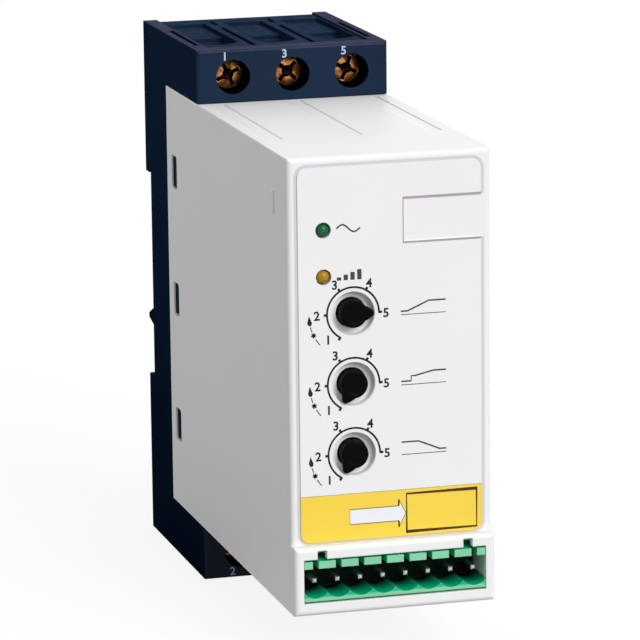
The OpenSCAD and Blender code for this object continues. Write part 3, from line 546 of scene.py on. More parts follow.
def film_edge(tree, place):
    """Mask of a painted shade line on the dial face just outside the film and label together,
    along their edge, but not beside the marker field. The distance outside their rounded
    outline is |max(|p| - half + r, 0)| - r; the line is full up to 0.6 mm of it and gone at
    0.85 mm."""
    corner = 2.0 * MM
    legs = []
    for axis, low, high in (("X", film_low.x, film_high.x), ("Z", label_low.z, film_high.z)):
        past = calc(tree, "SUBTRACT", apart(tree, place[axis], (low + high) / 2),
                    (high - low) / 2 - corner)
        legs.append(calc(tree, "MAXIMUM", past, 0.0))
    gap = calc(tree, "SUBTRACT", length_of(tree, *legs), corner)
    face = FILM_FRONT - (film_high.y - film_low.y)
    near = calc(tree, "LESS_THAN", apart(tree, place["Y"], -face), 0.15 * MM)
    level = apart(tree, place["Z"], (MARKER_TOP + MARKER_LOW) / 2)
    beside = product(tree, calc(tree, "GREATER_THAN", place["X"], 0.0), calc(
        tree, "LESS_THAN", level, (MARKER_TOP - MARKER_LOW) / 2 + 0.1 * MM))
    return product(tree, ranged(tree, gap, 0.85 * MM, 0.6 * MM), near,
                   ranged(tree, gap, -0.25 * MM, -0.15 * MM),
                   calc(tree, "SUBTRACT", 1.0, beside))


def groove_walls(tree, place, normal):
    """Masks of the side walls and the end walls of the shallow grooves in the cover's top."""
    sunk = product(tree, ranged(tree, place["Z"], COVER_TOP - 0.02 * MM, COVER_TOP - 0.08 * MM),
                   calc(tree, "GREATER_THAN", place["Z"], COVER_TOP - 0.3 * MM),
                   calc(tree, "LESS_THAN", normal["Z"], 0.5))
    ends = product(tree, sunk, calc(tree, "LESS_THAN", normal["Y"], -0.5))
    return calc(tree, "SUBTRACT", sunk, ends), ends


def cover_finish():
    """White moulding, glossier on its edges, with a painted shade line round the film and a
    painted highlight on its edges. Its grooves have side walls painted white, as painted light
    against their shade, with their true normal, and end walls whose normal is tipped up, as
    if they were rounded over."""
    made, tree, shader = start_finish("cover_white", Specular_IOR_Level=0.12, Coat_Roughness=0.2)
    edges, skin = moulding(tree, radius=0.0004, grain=0.0003, depth=0.000008, roughness=0.48,
                           drift=0.05)
    # Edge colour: a painted highlight on the rounded edges
    paint = use(tree, wear_and_edge_light, Colour=(0.852, 0.854, 0.857, 1), Amount=0.012,
                Edge_Colour=(0.9, 0.9, 0.9, 1), Edge=product(tree, edges["Edge"], 0.3))
    place, true, pull = parts_of(tree, place_of(tree)), true_normal(tree), 6.0
    # painted shade: a grey line round the film and label
    colour = blend_colour(tree, film_edge(tree, place), paint["Colour"], (0.63, 0.63, 0.665, 1))
    sides, ends = groove_walls(tree, place, parts_of(tree, true))
    # painted light: the groove side walls, which lie in shade, are painted white
    colour = blend_colour(tree, sides, colour, (1, 1, 1, 1))
    lift = add(tree, "CombineXYZ", {2: product(tree, ends, pull)}).outputs[0]
    outwards = vector_calc(tree, "MULTIPLY", true, product(tree, sides, pull))
    turned = vector_calc(tree, "ADD", skin["Normal"], vector_calc(tree, "ADD", lift, outwards))
    join(tree, shader, Base_Color=colour, Roughness=skin["Roughness"],
         Normal=vector_calc(tree, "NORMALIZE", turned),
         Coat_Weight=product(tree, edges["Edge"], 0.8))
    return made


def board_finish(name, turn=(0, 0, 0)):
    """Circuit board: green solder mask over copper tracks, laid out as the borders of square
    cells of two sizes, with bare glass-fibre edges."""
    made, tree, shader = start_finish(name, Specular_IOR_Level=0.5)
    where = add(tree, "Mapping", {"Vector": place_of(tree), "Rotation": turn}).outputs[0]
    flat = vector_calc(tree, "MULTIPLY", where, (1, 0, 1))
    cells = [add(tree, "TexVoronoi", {"Vector": flat, "Scale": scale, "Randomness": 0.85},
                 distance="CHEBYCHEV", feature="F1").outputs["Distance"] for scale in (230, 95)]
    rings = [calc(tree, "LESS_THAN", calc(tree, "PINGPONG", cell, 0.17), 0.055) for cell in cells]
    track = calc(tree, "MAXIMUM", *rings)
    edges = use(tree, soft_edges, Radius=0.0001)
    bump = add(tree, "Bump", {"Height": track, "Distance": 0.00004, "Normal": edges["Normal"]})
    slow = noise(tree, 0.01, 3.0)
    mask = blend_colour(tree, track, (0.006, 0.09, 0.03, 1), (0.02, 0.17, 0.055, 1))
    mask = blend_colour(tree, product(tree, slow, 0.3), mask, (0.003, 0.05, 0.02, 1))
    face = calc(tree, "ABSOLUTE", parts_of(tree, true_normal(tree))["X" if any(turn) else "Y"])
    colour = blend_colour(tree, calc(tree, "GREATER_THAN", face, 0.7), (0.36, 0.33, 0.16, 1),
                          mask)
    rough = ranged(tree, slow, 0.3, 0.7, 0.22, 0.36)
    join(tree, shader, Base_Color=colour, Roughness=rough, Normal=bump.outputs[0])
    return made


def lamp_finish(name, colour, deep):
    """Tinted lamp lens: its colour is cloudy, and deeper in tone where the dome turns away
    from the view, partly the tint seen through more of the lens and partly painted shade.
    """
    made, tree, shader = start_finish(name, Roughness=0.22, IOR=1.5, Transmission_Weight=0.1,
                                      Specular_IOR_Level=0.12, Coat_Weight=0.22,
                                      Coat_Roughness=0.05)
    turned = add(tree, "LayerWeight", {"Blend": 0.35}).outputs["Facing"]
    cloudy = ranged(tree, noise(tree, 0.0006, 3.0), 0.3, 0.7, 0.0, 0.35)
    # deeper tone towards the rim: partly tint, partly painted shade
    tone = blend_colour(tree, calc(tree, "MAXIMUM", turned, cloudy), colour, deep)
    edges = use(tree, soft_edges, Radius=0.00008)
    join(tree, shader, Base_Color=tone, Normal=edges["Normal"])
    return made


def header_finish():
    """Green header body with painted light and shade: painted highlight on the fronts of its
    teeth and of its lower edge and on its edges near the mouth, mid green on the points
    between its scallops, painted light in its coding slots, which lie in shade, and painted
    shade ever darker from the mouth inwards."""
    made, tree, shader = start_finish("header_green", Specular_IOR_Level=0.08)
    edges, skin = moulding(tree, radius=0.00022, grain=0.0003, depth=0.000008, roughness=0.36,
                           drift=0.08)
    place = parts_of(tree, place_of(tree))
    depth = calc(tree, "SUBTRACT", place["Y"], header_low.y)
    slots = calc(tree, "GREATER_THAN", place["Z"], header_high.z - 1.75 * MM)
    # painted shade: darker with depth from the mouth inwards
    inner_shade = product(tree, ranged(tree, depth, 1.6 * MM, 8.0 * MM),
                    calc(tree, "SUBTRACT", 1.0, slots))
    body = blend_colour(tree, inner_shade, (0.002, 0.52, 0.25, 1), (0.0, 0.004, 0.002, 1))
    # painted light: the coding slots, which lie in shade, are painted brighter
    body = blend_colour(tree, slots, body, (0.004, 0.62, 0.31, 1))
    lip_highlight = ranged(tree, depth, 0.12 * MM, 0.02 * MM)
    upper = calc(tree, "GREATER_THAN", place["Z"], header_high.z - 2.0 * MM)
    lower = ranged(tree, place["Z"], header_low.z + 1.05 * MM, header_low.z + 0.65 * MM)
    # painted highlight: pale fronts of the teeth and of the lower edge
    body = blend_colour(tree, product(tree, lip_highlight, calc(tree, "MAXIMUM", upper, lower)), body,
                        (0.26, 0.66, 0.4, 1))
    # painted highlight: lighter edges near the mouth
    rim = product(tree, edges["Edge"], ranged(tree, depth, 5.0 * MM, 0.5 * MM))
    paint = use(tree, wear_and_edge_light, Colour=body, Edge_Colour=(0.3, 0.72, 0.46, 1), Edge=rim,
                Amount=0.12)
    cover_with(tree, shader, skin, paint["Colour"])
    return made


def oily_recess(tree, tone):
    """Colour of a clamp screw, darkened as painted shade in the recess and behind the rim of its
    head, while the front of the head and the shank are not darkened."""
    depth = calc(tree, "ADD", parts_of(tree, place_of(tree))["Y"], front("clamp_screw_1"))
    dark = product(tree, ranged(tree, depth, 0.1 * MM, 0.4 * MM),
                   ranged(tree, depth, 3.4 * MM, 2.5 * MM))
    # painted shade: near black in the recess and behind the head's rim
    return blend_colour(tree, dark, tone, (0.012, 0.006, 0.004, 1))


def sleeve_finish():
    """Dark sleeve of the capacitors, with a pale broken stripe down one side and a bare metal
    end."""
    made, tree, shader = start_finish("can_sleeve", Specular_IOR_Level=0.5)
    edges, skin = moulding(tree, radius=0.0003, grain=0.0004, depth=0.000006, roughness=0.28,
                           drift=0.1)
    place = parts_of(tree, place_of(tree))
    low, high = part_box("supply_capacitors")
    radius, dash = (high.z - low.z) / 2, 3 * MM
    across = calc(tree, "SUBTRACT", calc(tree, "ABSOLUTE", place["X"]), high.x - radius)
    dashes = calc(tree, "FRACT", calc(tree, "DIVIDE", place["Y"], dash))
    stripe = product(tree, calc(tree, "LESS_THAN", across, -0.72 * radius),
                     calc(tree, "GREATER_THAN", dashes, 0.25))
    sleeve = blend_colour(tree, stripe, (0.012, 0.02, 0.05, 1), (0.5, 0.52, 0.55, 1))
    offset = calc(tree, "SUBTRACT", place["Z"], middle("supply_capacitors").z)
    end = product(tree, calc(tree, "LESS_THAN", place["Y"], low.y + 0.1 * MM), calc(
        tree, "LESS_THAN", length_of(tree, across, offset), radius - 0.9 * MM))
    colour = blend_colour(tree, end, sleeve, (0.72, 0.73, 0.75, 1))
    cover_with(tree, shader, skin, colour, Metallic=end)
    return made


def black_body_finish():
    """Black moulding compound of modules and chip, with tinned legs where parts stand out."""
    made, tree, shader = start_finish("module_black", Specular_IOR_Level=0.4)
    edges, skin = moulding(tree, radius=0.00012, grain=0.00012, depth=0.000012, roughness=0.5,
                           drift=0.1)
    place = parts_of(tree, place_of(tree))
    chip_low, chip_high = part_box("control_chip")
    chip_half = (chip_high.z - chip_low.z) / 2
    beside = calc(tree, "GREATER_THAN", calc(tree, "ABSOLUTE", place["X"]), chip_half + 0.02 * MM)
    behind = calc(tree, "LESS_THAN", place["Y"], chip_high.y + 1 * MM)
    board_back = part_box("power_board")[1].y
    bare = calc(tree, "LESS_THAN", place["Y"], board_back + 0.95 * MM)
    before = calc(tree, "GREATER_THAN", place["Y"], board_back - 1 * MM)
    legs = calc(tree, "MAXIMUM", product(tree, beside, behind), product(tree, bare, before))
    paint = use(tree, wear_and_edge_light, Colour=(0.012, 0.012, 0.013, 1), Amount=0.2, Dust=0.02,
                Edge_Colour=(0.06, 0.06, 0.06, 1), Edge=edges["Edge"])
    colour = blend_colour(tree, legs, paint["Colour"], (0.74, 0.74, 0.72, 1))
    cover_with(tree, shader, skin, colour, Metallic=legs)
    return made


def ink_finish(name, colour, roughness=0.5):
    """Screen-printed ink, a little uneven in cover."""
    made, tree, shader = start_finish(name, Specular_IOR_Level=0.1)
    thin = ranged(tree, noise(tree, 0.00035, 3.0), 0.35, 0.7, 0.0, 0.05)
    tone = blend_colour(tree, thin, colour, (0.5, 0.5, 0.5, 1))
    rough = ranged(tree, noise(tree, 0.001, 2.0), 0.3, 0.7, roughness - 0.08, roughness + 0.08)
    join(tree, shader, Base_Color=tone, Roughness=rough)
    return made


FINISHES = {
    "base_plastic": base_finish(),
    "cover_plastic": cover_finish(),
    # film_white: its darker lilac Edge colour paints shade along the film's cut edges
    "film_white": plastic("film_white", (0.85, 0.852, 0.862, 1), (0.62, 0.62, 0.72, 1),
                          roughness=0.34, radius=0.00012, grain=0.00018, depth=0.000003,
                          amount=0.01, edge=0.8, specular=0.15),
    "label_yellow": plastic("label_yellow", (0.93, 0.67, 0.078, 1), (0.7, 0.5, 0.1, 1),
                            roughness=0.34, radius=0.00012, grain=0.00018, depth=0.000003,
                            amount=0.03, edge=0.6, specular=0.15),
    "header_green": header_finish(),
    "pin_tin": metal("pin_tin", (0.5, 0.5, 0.47, 1), (0.3, 0.3, 0.28, 1), roughness=0.3,
                     stretch=(1.0, 0.05, 1.0), line=0.00008, size=0.001, cover=0.3),
    "board_green": board_finish("board_green"),
    "sink_aluminium": metal("sink_aluminium", (0.78, 0.79, 0.8, 1), (0.55, 0.56, 0.57, 1),
                            roughness=0.34, stretch=(1.0, 1.0, 0.03), line=0.0002, size=0.006),
    "module_black": black_body_finish(),
    "screw_steel": metal("screw_steel", (0.66, 0.67, 0.68, 1), (0.4, 0.4, 0.38, 1),
                         roughness=0.28, stretch=(1.0, 1.0, 1.0), size=0.0015),
    "relay_blue": plastic("relay_blue", (0.04, 0.12, 0.34, 1), (0.1, 0.2, 0.45, 1),
                          roughness=0.38, grain=0.0002, amount=0.1),
    "can_sleeve": sleeve_finish(),
    "disc_blue": plastic("disc_blue", (0.02, 0.11, 0.5, 1), (0.03, 0.14, 0.55, 1),
                         roughness=0.2, radius=0.0006, grain=0.0008, depth=0.00003, amount=0.2),
    "core_ferrite": plastic("core_ferrite", (0.03, 0.029, 0.028, 1), (0.09, 0.085, 0.08, 1),
                            roughness=0.55, grain=0.00015, depth=0.00002, amount=0.3),
    "bar_copper": metal("bar_copper", (0.86, 0.5, 0.33, 1), (0.45, 0.2, 0.12, 1),
                        roughness=0.3, stretch=(1.0, 1.0, 0.04), size=0.003, cover=0.6),
    "trimmer_blue": plastic("trimmer_blue", (0.02, 0.1, 0.42, 1), (0.05, 0.16, 0.5, 1),
                            roughness=0.35, grain=0.0002, amount=0.1),
    "knob_black": plastic("knob_black", (0.0015, 0.0015, 0.0018, 1), (0.009, 0.009, 0.01, 1),
                          roughness=0.4, radius=0.0003, grain=0.00015, depth=0.00001,
                          amount=0.2, edge=0.5, specular=0.04),
    "lamp_green": lamp_finish("lamp_green", (0.006, 0.14, 0.045, 1), (0.001, 0.026, 0.01, 1)),
    "lamp_amber": lamp_finish("lamp_amber", (0.5, 0.27, 0.012, 1), (0.14, 0.065, 0.003, 1)),
    "cage_steel": metal("cage_steel", (0.7, 0.68, 0.6, 1), (0.5, 0.47, 0.38, 1),
                        roughness=0.3, stretch=(1.0, 0.05, 1.0), size=0.002),
    "screw_brass": metal("screw_brass", (0.62, 0.26, 0.075, 1), (0.12, 0.043, 0.012, 1),
                         stretch=(1.0, 1.0, 1.0), line=0.0002, radius=0.00012,
                         size=0.0014, cover=0.72, darken=oily_recess),
    "clip_plastic": plastic("clip_black", (0.009, 0.01, 0.013, 1), (0.03, 0.032, 0.038, 1),
                            roughness=0.42, grain=0.00025, amount=0.12, specular=0.0),
    "spring_steel": metal("spring_steel", (0.7, 0.7, 0.7, 1), (0.45, 0.43, 0.4, 1),
                          roughness=0.25, stretch=(1.0, 1.0, 0.2), size=0.001),
}
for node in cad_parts.values():
    for holder in node.material_slots:
        slot = holder.material.name.split(".")[0]
        holder.material = FINISHES[slot]
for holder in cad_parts["link_board"].material_slots:
    holder.material = board_finish("board_green_on_edge", turn=(0, 0, math.radians(90)))

dark_ink = ink_finish("dark_ink", (0.008, 0.008, 0.01, 1))
grey_ink = ink_finish("grey_ink", (0.05, 0.05, 0.056, 1))
# ink of the painted shade line round the marker field
shade_line_ink = ink_finish("edge_shade_ink", (0.42, 0.35, 0.41, 1))
white_ink = ink_finish("white_ink", (0.85, 0.86, 0.9, 1))
pad_ink = ink_finish("pad_printed_ink", (0.46, 0.49, 0.7, 1))
brown_ink = ink_finish("brown_ink", (0.06, 0.024, 0.01, 1))


# ---------------------------------------------------------------- prints on the dial face, and a painted shade line round the marker field

INK_SUNK, INK_PROUD = 0.02 * MM, 0.025 * MM
FILM_INK = FILM_FRONT - INK_SUNK, FILM_FRONT + INK_PROUD
LABEL_INK = LABEL_FRONT - INK_SUNK, LABEL_FRONT + INK_PROUD


def figures(name, marks, depth, finish, weight):
    """Plain figures as a mesh, facing front: each mark is (text, height, x, z), and its outline
    is drawn outwards by weight."""
    cap_height, thickness = 0.7, 0.02 * MM
    parts = []
    for text, height, x, z in marks:
        curve = bpy.data.curves.new(name, "FONT")
        curve.body, curve.align_x, curve.align_y = text, "CENTER", "CENTER"
        curve.size, curve.extrude, curve.resolution_u = height / cap_height, thickness, 4
        curve.offset = weight
        holder = bpy.data.objects.new(name, curve)
        bpy.context.scene.collection.objects.link(holder)
        bpy.context.view_layer.update()
        mesh = bpy.data.meshes.new_from_object(
            holder.evaluated_get(bpy.context.evaluated_depsgraph_get()))
        spots = np.empty(len(mesh.vertices) * 3)
        mesh.vertices.foreach_get("co", spots)
        spots = spots.reshape(-1, 3)
        spots = spots - (spots.max(0) + spots.min(0)) / 2 * [1, 1, 0]
        points = np.stack([spots[:, 0] + x, -spots[:, 2] - depth, spots[:, 1] + z], 1)
        parts.append((points, np.empty((0, 4), int),
                      [np.array(face.vertices) for face in mesh.polygons]))
        bpy.data.objects.remove(holder)
        bpy.data.curves.remove(curve)
        bpy.data.meshes.remove(mesh)
    return piece(name, gather(parts), finish, "housing")


ARC_R = 5.75 * MM
SWEEP = (240, 180, 120, 60, 0)
FIGURE_PLACES = ((224, 7.7), (180, 8.0), (122, 7.6), (61, 7.4), (358, 7.3))


def dial_scale(n):
    """Arc round a dial from 240 degrees over the top to 0, with a tick that points out at
    each of its five marks."""
    at = middle(f"dial_trimmer_{n}")
    back, ahead = FILM_INK
    parts = [stroke(arc_points(at.x, at.z, ARC_R, SWEEP[0], SWEEP[-1], 72), 0.42 * MM, back,
                    ahead)]
    for angle in SWEEP:
        tick = [arc_points(at.x, at.z, r, angle, angle, 1)[0]
                for r in (ARC_R - 0.15 * MM, ARC_R + 0.7 * MM)]
        parts.append(stroke(tick, 0.55 * MM, back, ahead + 0.003 * MM))
    return parts


def dial_turn_mark(n):
    """Curved arrow left of a dial: a thin tail on an arc, a small star on it and a drop-shaped
    head. Along the head's length s its half width rises as 0.5 mm s / 0.65 and then closes in
    a round end, 0.5 mm sqrt(1 - ((s - 0.65) / 0.35)^2)."""
    at, reach, widest = middle(f"dial_trimmer_{n}"), 9.7 * MM, 0.65
    parts = [stroke(arc_points(at.x, at.z, reach, start, end, count), 0.2 * MM, *FILM_INK)
             for start, end, count in ((221, 211, 12), (201, 194, 8))]
    s = np.linspace(0.02, 0.995, 22)
    spine = arc_points(at.x, at.z, reach, 179.5, 192.5, 22)
    round_end = np.sqrt(np.maximum(1 - ((s - widest) / (1 - widest)) ** 2, 0))
    half = 0.5 * MM * np.where(s < widest, s / widest, round_end)[:, None]
    outward = (spine - [at.x, at.z]) / reach
    outline = np.concatenate([spine + outward * half, (spine - outward * half)[::-1]])
    parts.append(slab_of(outline, *FILM_INK))
    star = arc_points(at.x, at.z, reach, 205.5, 205.5, 1)[0]
    for angle in np.radians([20, 80, 140]):
        arm = np.array([math.cos(angle), math.sin(angle)]) * 0.58 * MM
        parts.append(stroke([star - arm, star + arm], 0.32 * MM, *FILM_INK))
    return parts


piece("dial_scales", gather([p for n in DIALS for p in dial_scale(n)]), dark_ink,
      "housing")
piece("dial_turn_marks", gather([p for n in DIALS for p in dial_turn_mark(n)]), dark_ink,
      "housing")
figures("dial_numbers",
        [(str(i + 1), 1.9 * MM,
          middle(f"dial_trimmer_{n}").x + r * MM * math.cos(math.radians(a)),
          middle(f"dial_trimmer_{n}").z + r * MM * math.sin(math.radians(a)))
         for n in DIALS for i, (a, r) in enumerate(FIGURE_PLACES)],
        FILM_FRONT, dark_ink, weight=0.07 * MM)


def graph_sign(n):
    """Small line drawing right of a dial: a base line and a trace that ramps up, steps up
    or ramps down."""
    at = middle(f"dial_trimmer_{n}")
    x, z, width, height, base = at.x + 10.6 * MM, at.z - 0.2 * MM, 10 * MM, 2 * MM, -0.75 * MM
    traces = {1: [(0, 0), (0.15, 0), (0.62, 1), (1, 1)],
              2: [(0, 0), (0.22, 0), (0.22, 0.55), (0.3, 0.55), (0.72, 1), (1, 1)],
              3: [(0, 1), (0.38, 1), (0.85, 0), (1, 0)]}
    return [stroke([(x + u * width, z + v * height) for u, v in traces[n]], 0.34 * MM, *FILM_INK),
            stroke([(x, z + base), (x + width, z + base)], 0.16 * MM, *FILM_INK)]


def lamp_sign(node, kind):
    """Small sign right of a lamp: one period of a sine wave for supply, or four bars that
    grow to the full height for full voltage."""
    at = middle(node)
    x = at.x + 2.9 * MM
    if kind == "supply":
        u = np.linspace(0, 1, 40)
        wave = np.stack([x + u * 5.2 * MM, at.z + 0.2 * MM + 0.8 * MM * np.sin(FULL * u)], 1)
        return [stroke(wave, 0.34 * MM, *FILM_INK)]
    foot, width, step, rise = at.z - 0.9 * MM, 0.95 * MM, 1.5 * MM, 0.5 * MM
    return [slab_of(round_box((x + i * step, foot),
                              (x + i * step + width, foot + 0.7 * MM + i * rise), 0.1 * MM),
                    *FILM_INK) for i in range(4)]


signs = [p for n in DIALS for p in graph_sign(n)]
signs += lamp_sign("power_lamp", "supply") + lamp_sign("run_lamp", "full")
piece("setting_signs", gather(signs), grey_ink, "housing")


def marker_frame():
    """Fine line of painted shade round the free marker field, where the film's cut edge casts
    shade, drawn on the film just outside it and open at the right-hand edge of the film."""
    out, right = 0.24 * MM, film_high.x
    left, top, low = right - 17.1 * MM - out, MARKER_TOP + out, MARKER_LOW - out
    return stroke([(right, top), (left, top), (left, low), (right, low)], 0.46 * MM, *FILM_INK)


piece("marker_shade_line", marker_frame(), shade_line_ink, "housing")


# ---------------------------------------------------------------- plain shapes on the label

def label_signs():
    """Blank white arrow panel that points at a blank outlined box on the right."""
    back, ahead = LABEL_INK
    z = (label_low.z + label_high.z) / 2
    box_left, box_right, half = label_high.x - 17.0 * MM, label_high.x - 1.2 * MM, 4.2 * MM
    outline = [(box_left, z - half), (box_right, z - half), (box_right, z + half),
               (box_left, z + half)]
    arrow_left, neck, tip = box_left - 12.7 * MM, box_left - 1.75 * MM, box_left - 0.2 * MM
    shaft, barb = 1.65 * MM, 3.05 * MM
    shank = [(neck, z - shaft), (arrow_left, z - shaft), (arrow_left, z + shaft),
             (neck, z + shaft)]
    head = [(neck, z - barb), (tip, z), (neck, z + barb)]
    lines = [stroke(head, 0.13 * MM, back, ahead + 0.006 * MM),
             stroke(shank, 0.16 * MM, back, ahead + 0.006 * MM)]
    lines += [stroke([(neck - 0.02 * MM, z + s * shaft), (neck + 0.05 * MM, z + s * barb)],
                     0.34 * MM, back, ahead + 0.008 * MM) for s in (-1, 1)]
    panel = [slab_of(part, back, ahead) for part in (shank, head)]
    return stroke(outline, 0.4 * MM, back, ahead, closed=True), gather(panel), gather(lines)


label_box, label_panel, label_lines = label_signs()
piece("label_box", label_box, brown_ink, "housing")
piece("label_arrow", label_panel, white_ink, "housing")
piece("label_arrow_lines", label_lines, brown_ink, "housing")


# ---------------------------------------------------------------- numbers beside the clamps

upper_figures = base_high.z - 1.65 * MM
figures("terminal_numbers",
        [(str(n), 1.85 * MM, middle(f"clamp_screw_{n}").x - 1.95 * MM,
          upper_figures if n % 2 else 2 * BASE_LEVEL - upper_figures) for n in POLES],
        BLOCK_FRONT, pad_ink, weight=0.06 * MM)


# ---------------------------------------------------------------- clamp screws

def cross_reach(angles, arm, reach):
    """Polar radius of a plus-shaped recess with arms of half width arm and length reach:
    reach / cos a across an arm's end, arm / sin a along its side, folded into each eighth."""
    folded = np.abs((angles + math.pi / 4) % (math.pi / 2) - math.pi / 4)
    return np.minimum(reach / np.cos(folded), arm / np.maximum(np.sin(folded), 1e-9))


def clamp_screw(n):
    """Turned brass screw as rings round its axis, from tip to head. On the shank the radius
    follows the thread: core + rise (1 - |2 f - 1|), where f is the part of a turn left over
    in depth / pitch - angle / turn. The head ends in a cross recess, a plus joined with a round
    middle, that narrows downwards."""
    at, face = middle(f"clamp_screw_{n}"), front(f"clamp_screw_{n}")
    low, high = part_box(f"clamp_screw_{n}")
    tip = -high.y
    head_r, thread_r, core, pitch = (high.x - low.x) / 2, 2.0 * MM, 1.62 * MM, 0.7 * MM
    head_back = face - 2.4 * MM
    arm, reach, centre = 0.45 * MM, head_r - 0.62 * MM, 1.3 * MM
    corner = math.atan2(arm, reach)
    quarters = np.arange(4) * math.pi / 2
    angles = np.unique(np.round(np.concatenate(
        [np.linspace(0, FULL, 48, endpoint=False), quarters + corner,
         quarters - corner + math.pi / 2, quarters + math.pi / 4]) % FULL, 6))
    depths = np.arange(tip + 0.15 * MM, head_back - 0.5 * MM, pitch / 8)
    turned = depths[:, None] / pitch - angles[None, :] / FULL
    wave = 1 - np.abs(2 * (turned % 1.0) - 1)
    fade = np.clip((depths - tip) / (0.9 * MM), 0.25, 1)[:, None]
    recess = np.maximum(cross_reach(angles, arm, reach), centre)
    rings = [(0.5 * MM, tip), (1.3 * MM, tip)]
    rings += zip(core + (thread_r - core) * wave * fade, depths)
    rings += [(core, head_back - 0.35 * MM), (core + 0.1 * MM, head_back),
              (head_r - 0.35 * MM, head_back), (head_r, head_back + 0.25 * MM),
              (head_r, face - 0.45 * MM), (head_r - 0.12 * MM, face - 0.16 * MM),
              (head_r - 0.42 * MM, face), (recess * 1.03, face), (recess, face - 0.06 * MM),
              (recess * 0.8, face - 1.5 * MM),
              (np.minimum(recess * 0.8, 0.9 * MM), face - 1.55 * MM),
              (0.25 * MM, face - 1.9 * MM)]
    return turned_skin(rings, angles, at.x, at.z, math.radians(14 + 11 * n))


for n in POLES:
    screw = piece(f"clamp_screw_{n}_turned", clamp_screw(n), FINISHES["screw_brass"],
                  f"screw_{n}", smooth=38)
    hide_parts(f"clamp_screw_{n}")


# ---------------------------------------------------------------- dials

def pointer_reach(angles, radius, tip, start=2.3 * MM, first=1.6 * MM, last=0.85 * MM):
    """Polar radius of a barrel with a blunt pointer: the farthest edge, in each direction, of a
    row of circles along the pointer. A circle of radius q centred at s reaches
    s cos a + sqrt(q^2 - s^2 sin^2 a), and q falls evenly from first to last."""
    share = np.linspace(0, 1, 60)[:, None]
    s, q = start + share * (tip - last - start), first + share * (last - first)
    inside = q ** 2 - (s * np.sin(angles)) ** 2
    edge = np.where((inside >= 0) & (np.cos(angles) > 0),
                    s * np.cos(angles) + np.sqrt(np.maximum(inside, 0)), 0)
    return np.maximum(edge.max(0), radius)


def pointer_dial(n):
    """Pointer dial as rings round its axis: spindle, barrel, the pointer's outline from just in
    front of the film, a rolled front edge (inset 1 - cos t, depth sin t) and a dished face."""
    low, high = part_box(f"dial_knob_{n}")
    axis, tail, face = middle(f"dial_trimmer_{n}"), -high.y, -low.y
    barrel, spindle, roll = 3.0 * MM, 1.5 * MM, 0.35 * MM
    barrel_back, pointer_back = front(f"dial_trimmer_{n}") + 0.3 * MM, FILM_FRONT + 0.1 * MM
    angles = np.unique(np.radians(np.concatenate([np.arange(-180, 180, 5),
                                                  np.arange(-50, 50, 2)])))
    outline = pointer_reach(angles, barrel, 4.5 * MM)
    rings = [(spindle - 0.2 * MM, tail), (spindle, tail + 0.2 * MM), (spindle, barrel_back),
             (barrel - 0.15 * MM, barrel_back), (barrel, barrel_back + 0.15 * MM),
             (barrel, pointer_back), (outline - 0.1 * MM, pointer_back),
             (outline, pointer_back + 0.1 * MM), (outline, face - roll)]
    rings += [(outline - roll * (1 - math.cos(t)), face - roll + roll * math.sin(t))
              for t in np.radians([18, 36, 54, 72, 90])]
    rings += [(outline - 0.55 * MM, face), (2.15 * MM, face), (2.0 * MM, face - 0.16 * MM),
              (0.2 * MM, face - 0.2 * MM)]
    return turned_skin(rings, angles, axis.x, axis.z, math.radians(0 if n == 1 else 240))


for n in DIALS:
    dial = piece(f"pointer_dial_{n}", pointer_dial(n), FINISHES["knob_black"], f"dial_{n}",
                 smooth=40)
    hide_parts(f"dial_knob_{n}")


# ---------------------------------------------------------------- spring of the rail clip

def coil_spring():
    """Round wire on a helix with closed ends: angle 2 pi t n, height low + free (t - c sin(2
    pi t)), for t from 0 to 1, n turns and a share c that lays the end turns flat."""
    low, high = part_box("clip_spring")
    at, wire, turns, close = middle("clip_spring"), 0.6 * MM, 6, 40 / 360
    radius = (high.x - low.x) / 2 - wire / 2
    free = high.z - low.z - wire
    t = np.linspace(0, 1, turns * 40 + 1)
    angle = FULL * turns * t
    path = np.stack([at.x + radius * np.cos(angle), at.y + radius * np.sin(angle),
                     low.z + wire / 2 + free * (t - close * np.sin(FULL * t))], 1)
    return tube(path, wire / 2, 12)


spring = piece("rail_clip_spring", coil_spring(), FINISHES["spring_steel"], "housing")
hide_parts("clip_spring")
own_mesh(spring)


# ---------------------------------------------------------------- camera, light and floor

def studio_camera():
    """Camera of the photograph: long lens, from the front left and a little above."""
    data = bpy.data.cameras.new("view")
    data.sensor_width, data.lens = 36.0, 237.96
    data.clip_start, data.clip_end = 0.05, 30.0
    made = bpy.data.objects.new("view", data)
    pitch, yaw, roll = (math.radians(a) for a in (12.029, -15.652, -0.643))
    turn = (Matrix.Rotation(yaw, 4, "Z") @ Matrix.Rotation(math.pi / 2 - pitch, 4, "X")
            @ Matrix.Rotation(roll, 4, "Z"))
    made.matrix_world = Matrix.Translation(Vector((-252.12, -972.43, 191.98)) * MM) @ turn
    bpy.context.scene.collection.objects.link(made)
    bpy.context.scene.camera = made


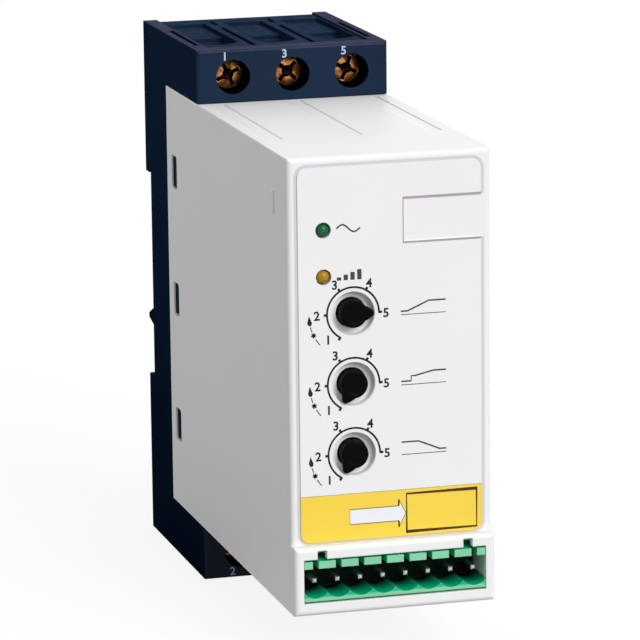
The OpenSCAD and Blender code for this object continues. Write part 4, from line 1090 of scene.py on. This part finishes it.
def sun(name, towards, strength, width):
    """Distant soft light that shines from a direction, its width an angle in degrees."""
    data = bpy.data.lights.new(name, "SUN")
    data.energy, data.angle = strength, math.radians(width)
    made = bpy.data.objects.new(name, data)
    made.rotation_mode = "QUATERNION"
    made.rotation_quaternion = Vector(towards).to_track_quat("Z", "Y")
    bpy.context.scene.collection.objects.link(made)


def seen_directly(tree):
    """1 for rays that show the background: from the camera, a reflection or a clear part."""
    path = add(tree, "LightPath").outputs
    seen = calc(tree, "MAXIMUM", path["Is Camera Ray"], path["Is Glossy Ray"])
    return calc(tree, "MAXIMUM", seen, path["Is Transmission Ray"])


def studio_world():
    """Even pale surroundings, white where they are seen."""
    as_light, as_seen = 0.54, 1.0
    world = bpy.data.worlds.new("studio")
    world.use_nodes = True
    tree = world.node_tree
    back = tree.nodes["Background"]
    back.inputs["Color"].default_value = (1, 1, 1, 1)
    strength = ranged(tree, seen_directly(tree), 0.0, 1.0, as_light, as_seen)
    tree.links.new(strength, back.inputs["Strength"])
    bpy.context.scene.world = world


def studio_floor():
    """Large plane under the object: where it is seen it glows evenly and returns a little of
    the light that falls on it, so it is white and keeps the object's shadow."""
    as_light, as_seen, glow, reach = 0.4, 0.14, 0.87, 4
    made, tree, shader = start_finish("floor_card", Roughness=0.9, Specular_IOR_Level=0.0)
    seen = seen_directly(tree)
    tree.links.new(blend_colour(tree, seen, (*[as_light] * 3, 1), (*[as_seen] * 3, 1)),
                   shader["Base Color"])
    shader["Emission Color"].default_value = (1, 1, 1, 1)
    tree.links.new(calc(tree, "MULTIPLY", seen, glow), shader["Emission Strength"])
    level = base_low.z - 0.02 * MM
    corners = [(x * reach, y * reach, level) for x, y in ((-1, -1), (1, -1), (1, 1), (-1, 1))]
    mesh = bpy.data.meshes.new("floor")
    mesh.from_pydata(corners, [], [(0, 1, 2, 3)])
    mesh.materials.append(made)
    floor = bpy.data.objects.new("floor", mesh)
    bpy.context.scene.collection.objects.link(floor)


studio_camera()
studio_world()
studio_floor()
sun("key", (0.32, -0.78, 0.54), 2.2, 35)
sun("back_fill", (0.35, 0.9, 0.12), 0.7, 60)
bpy.context.scene.view_settings.view_transform = "Standard"
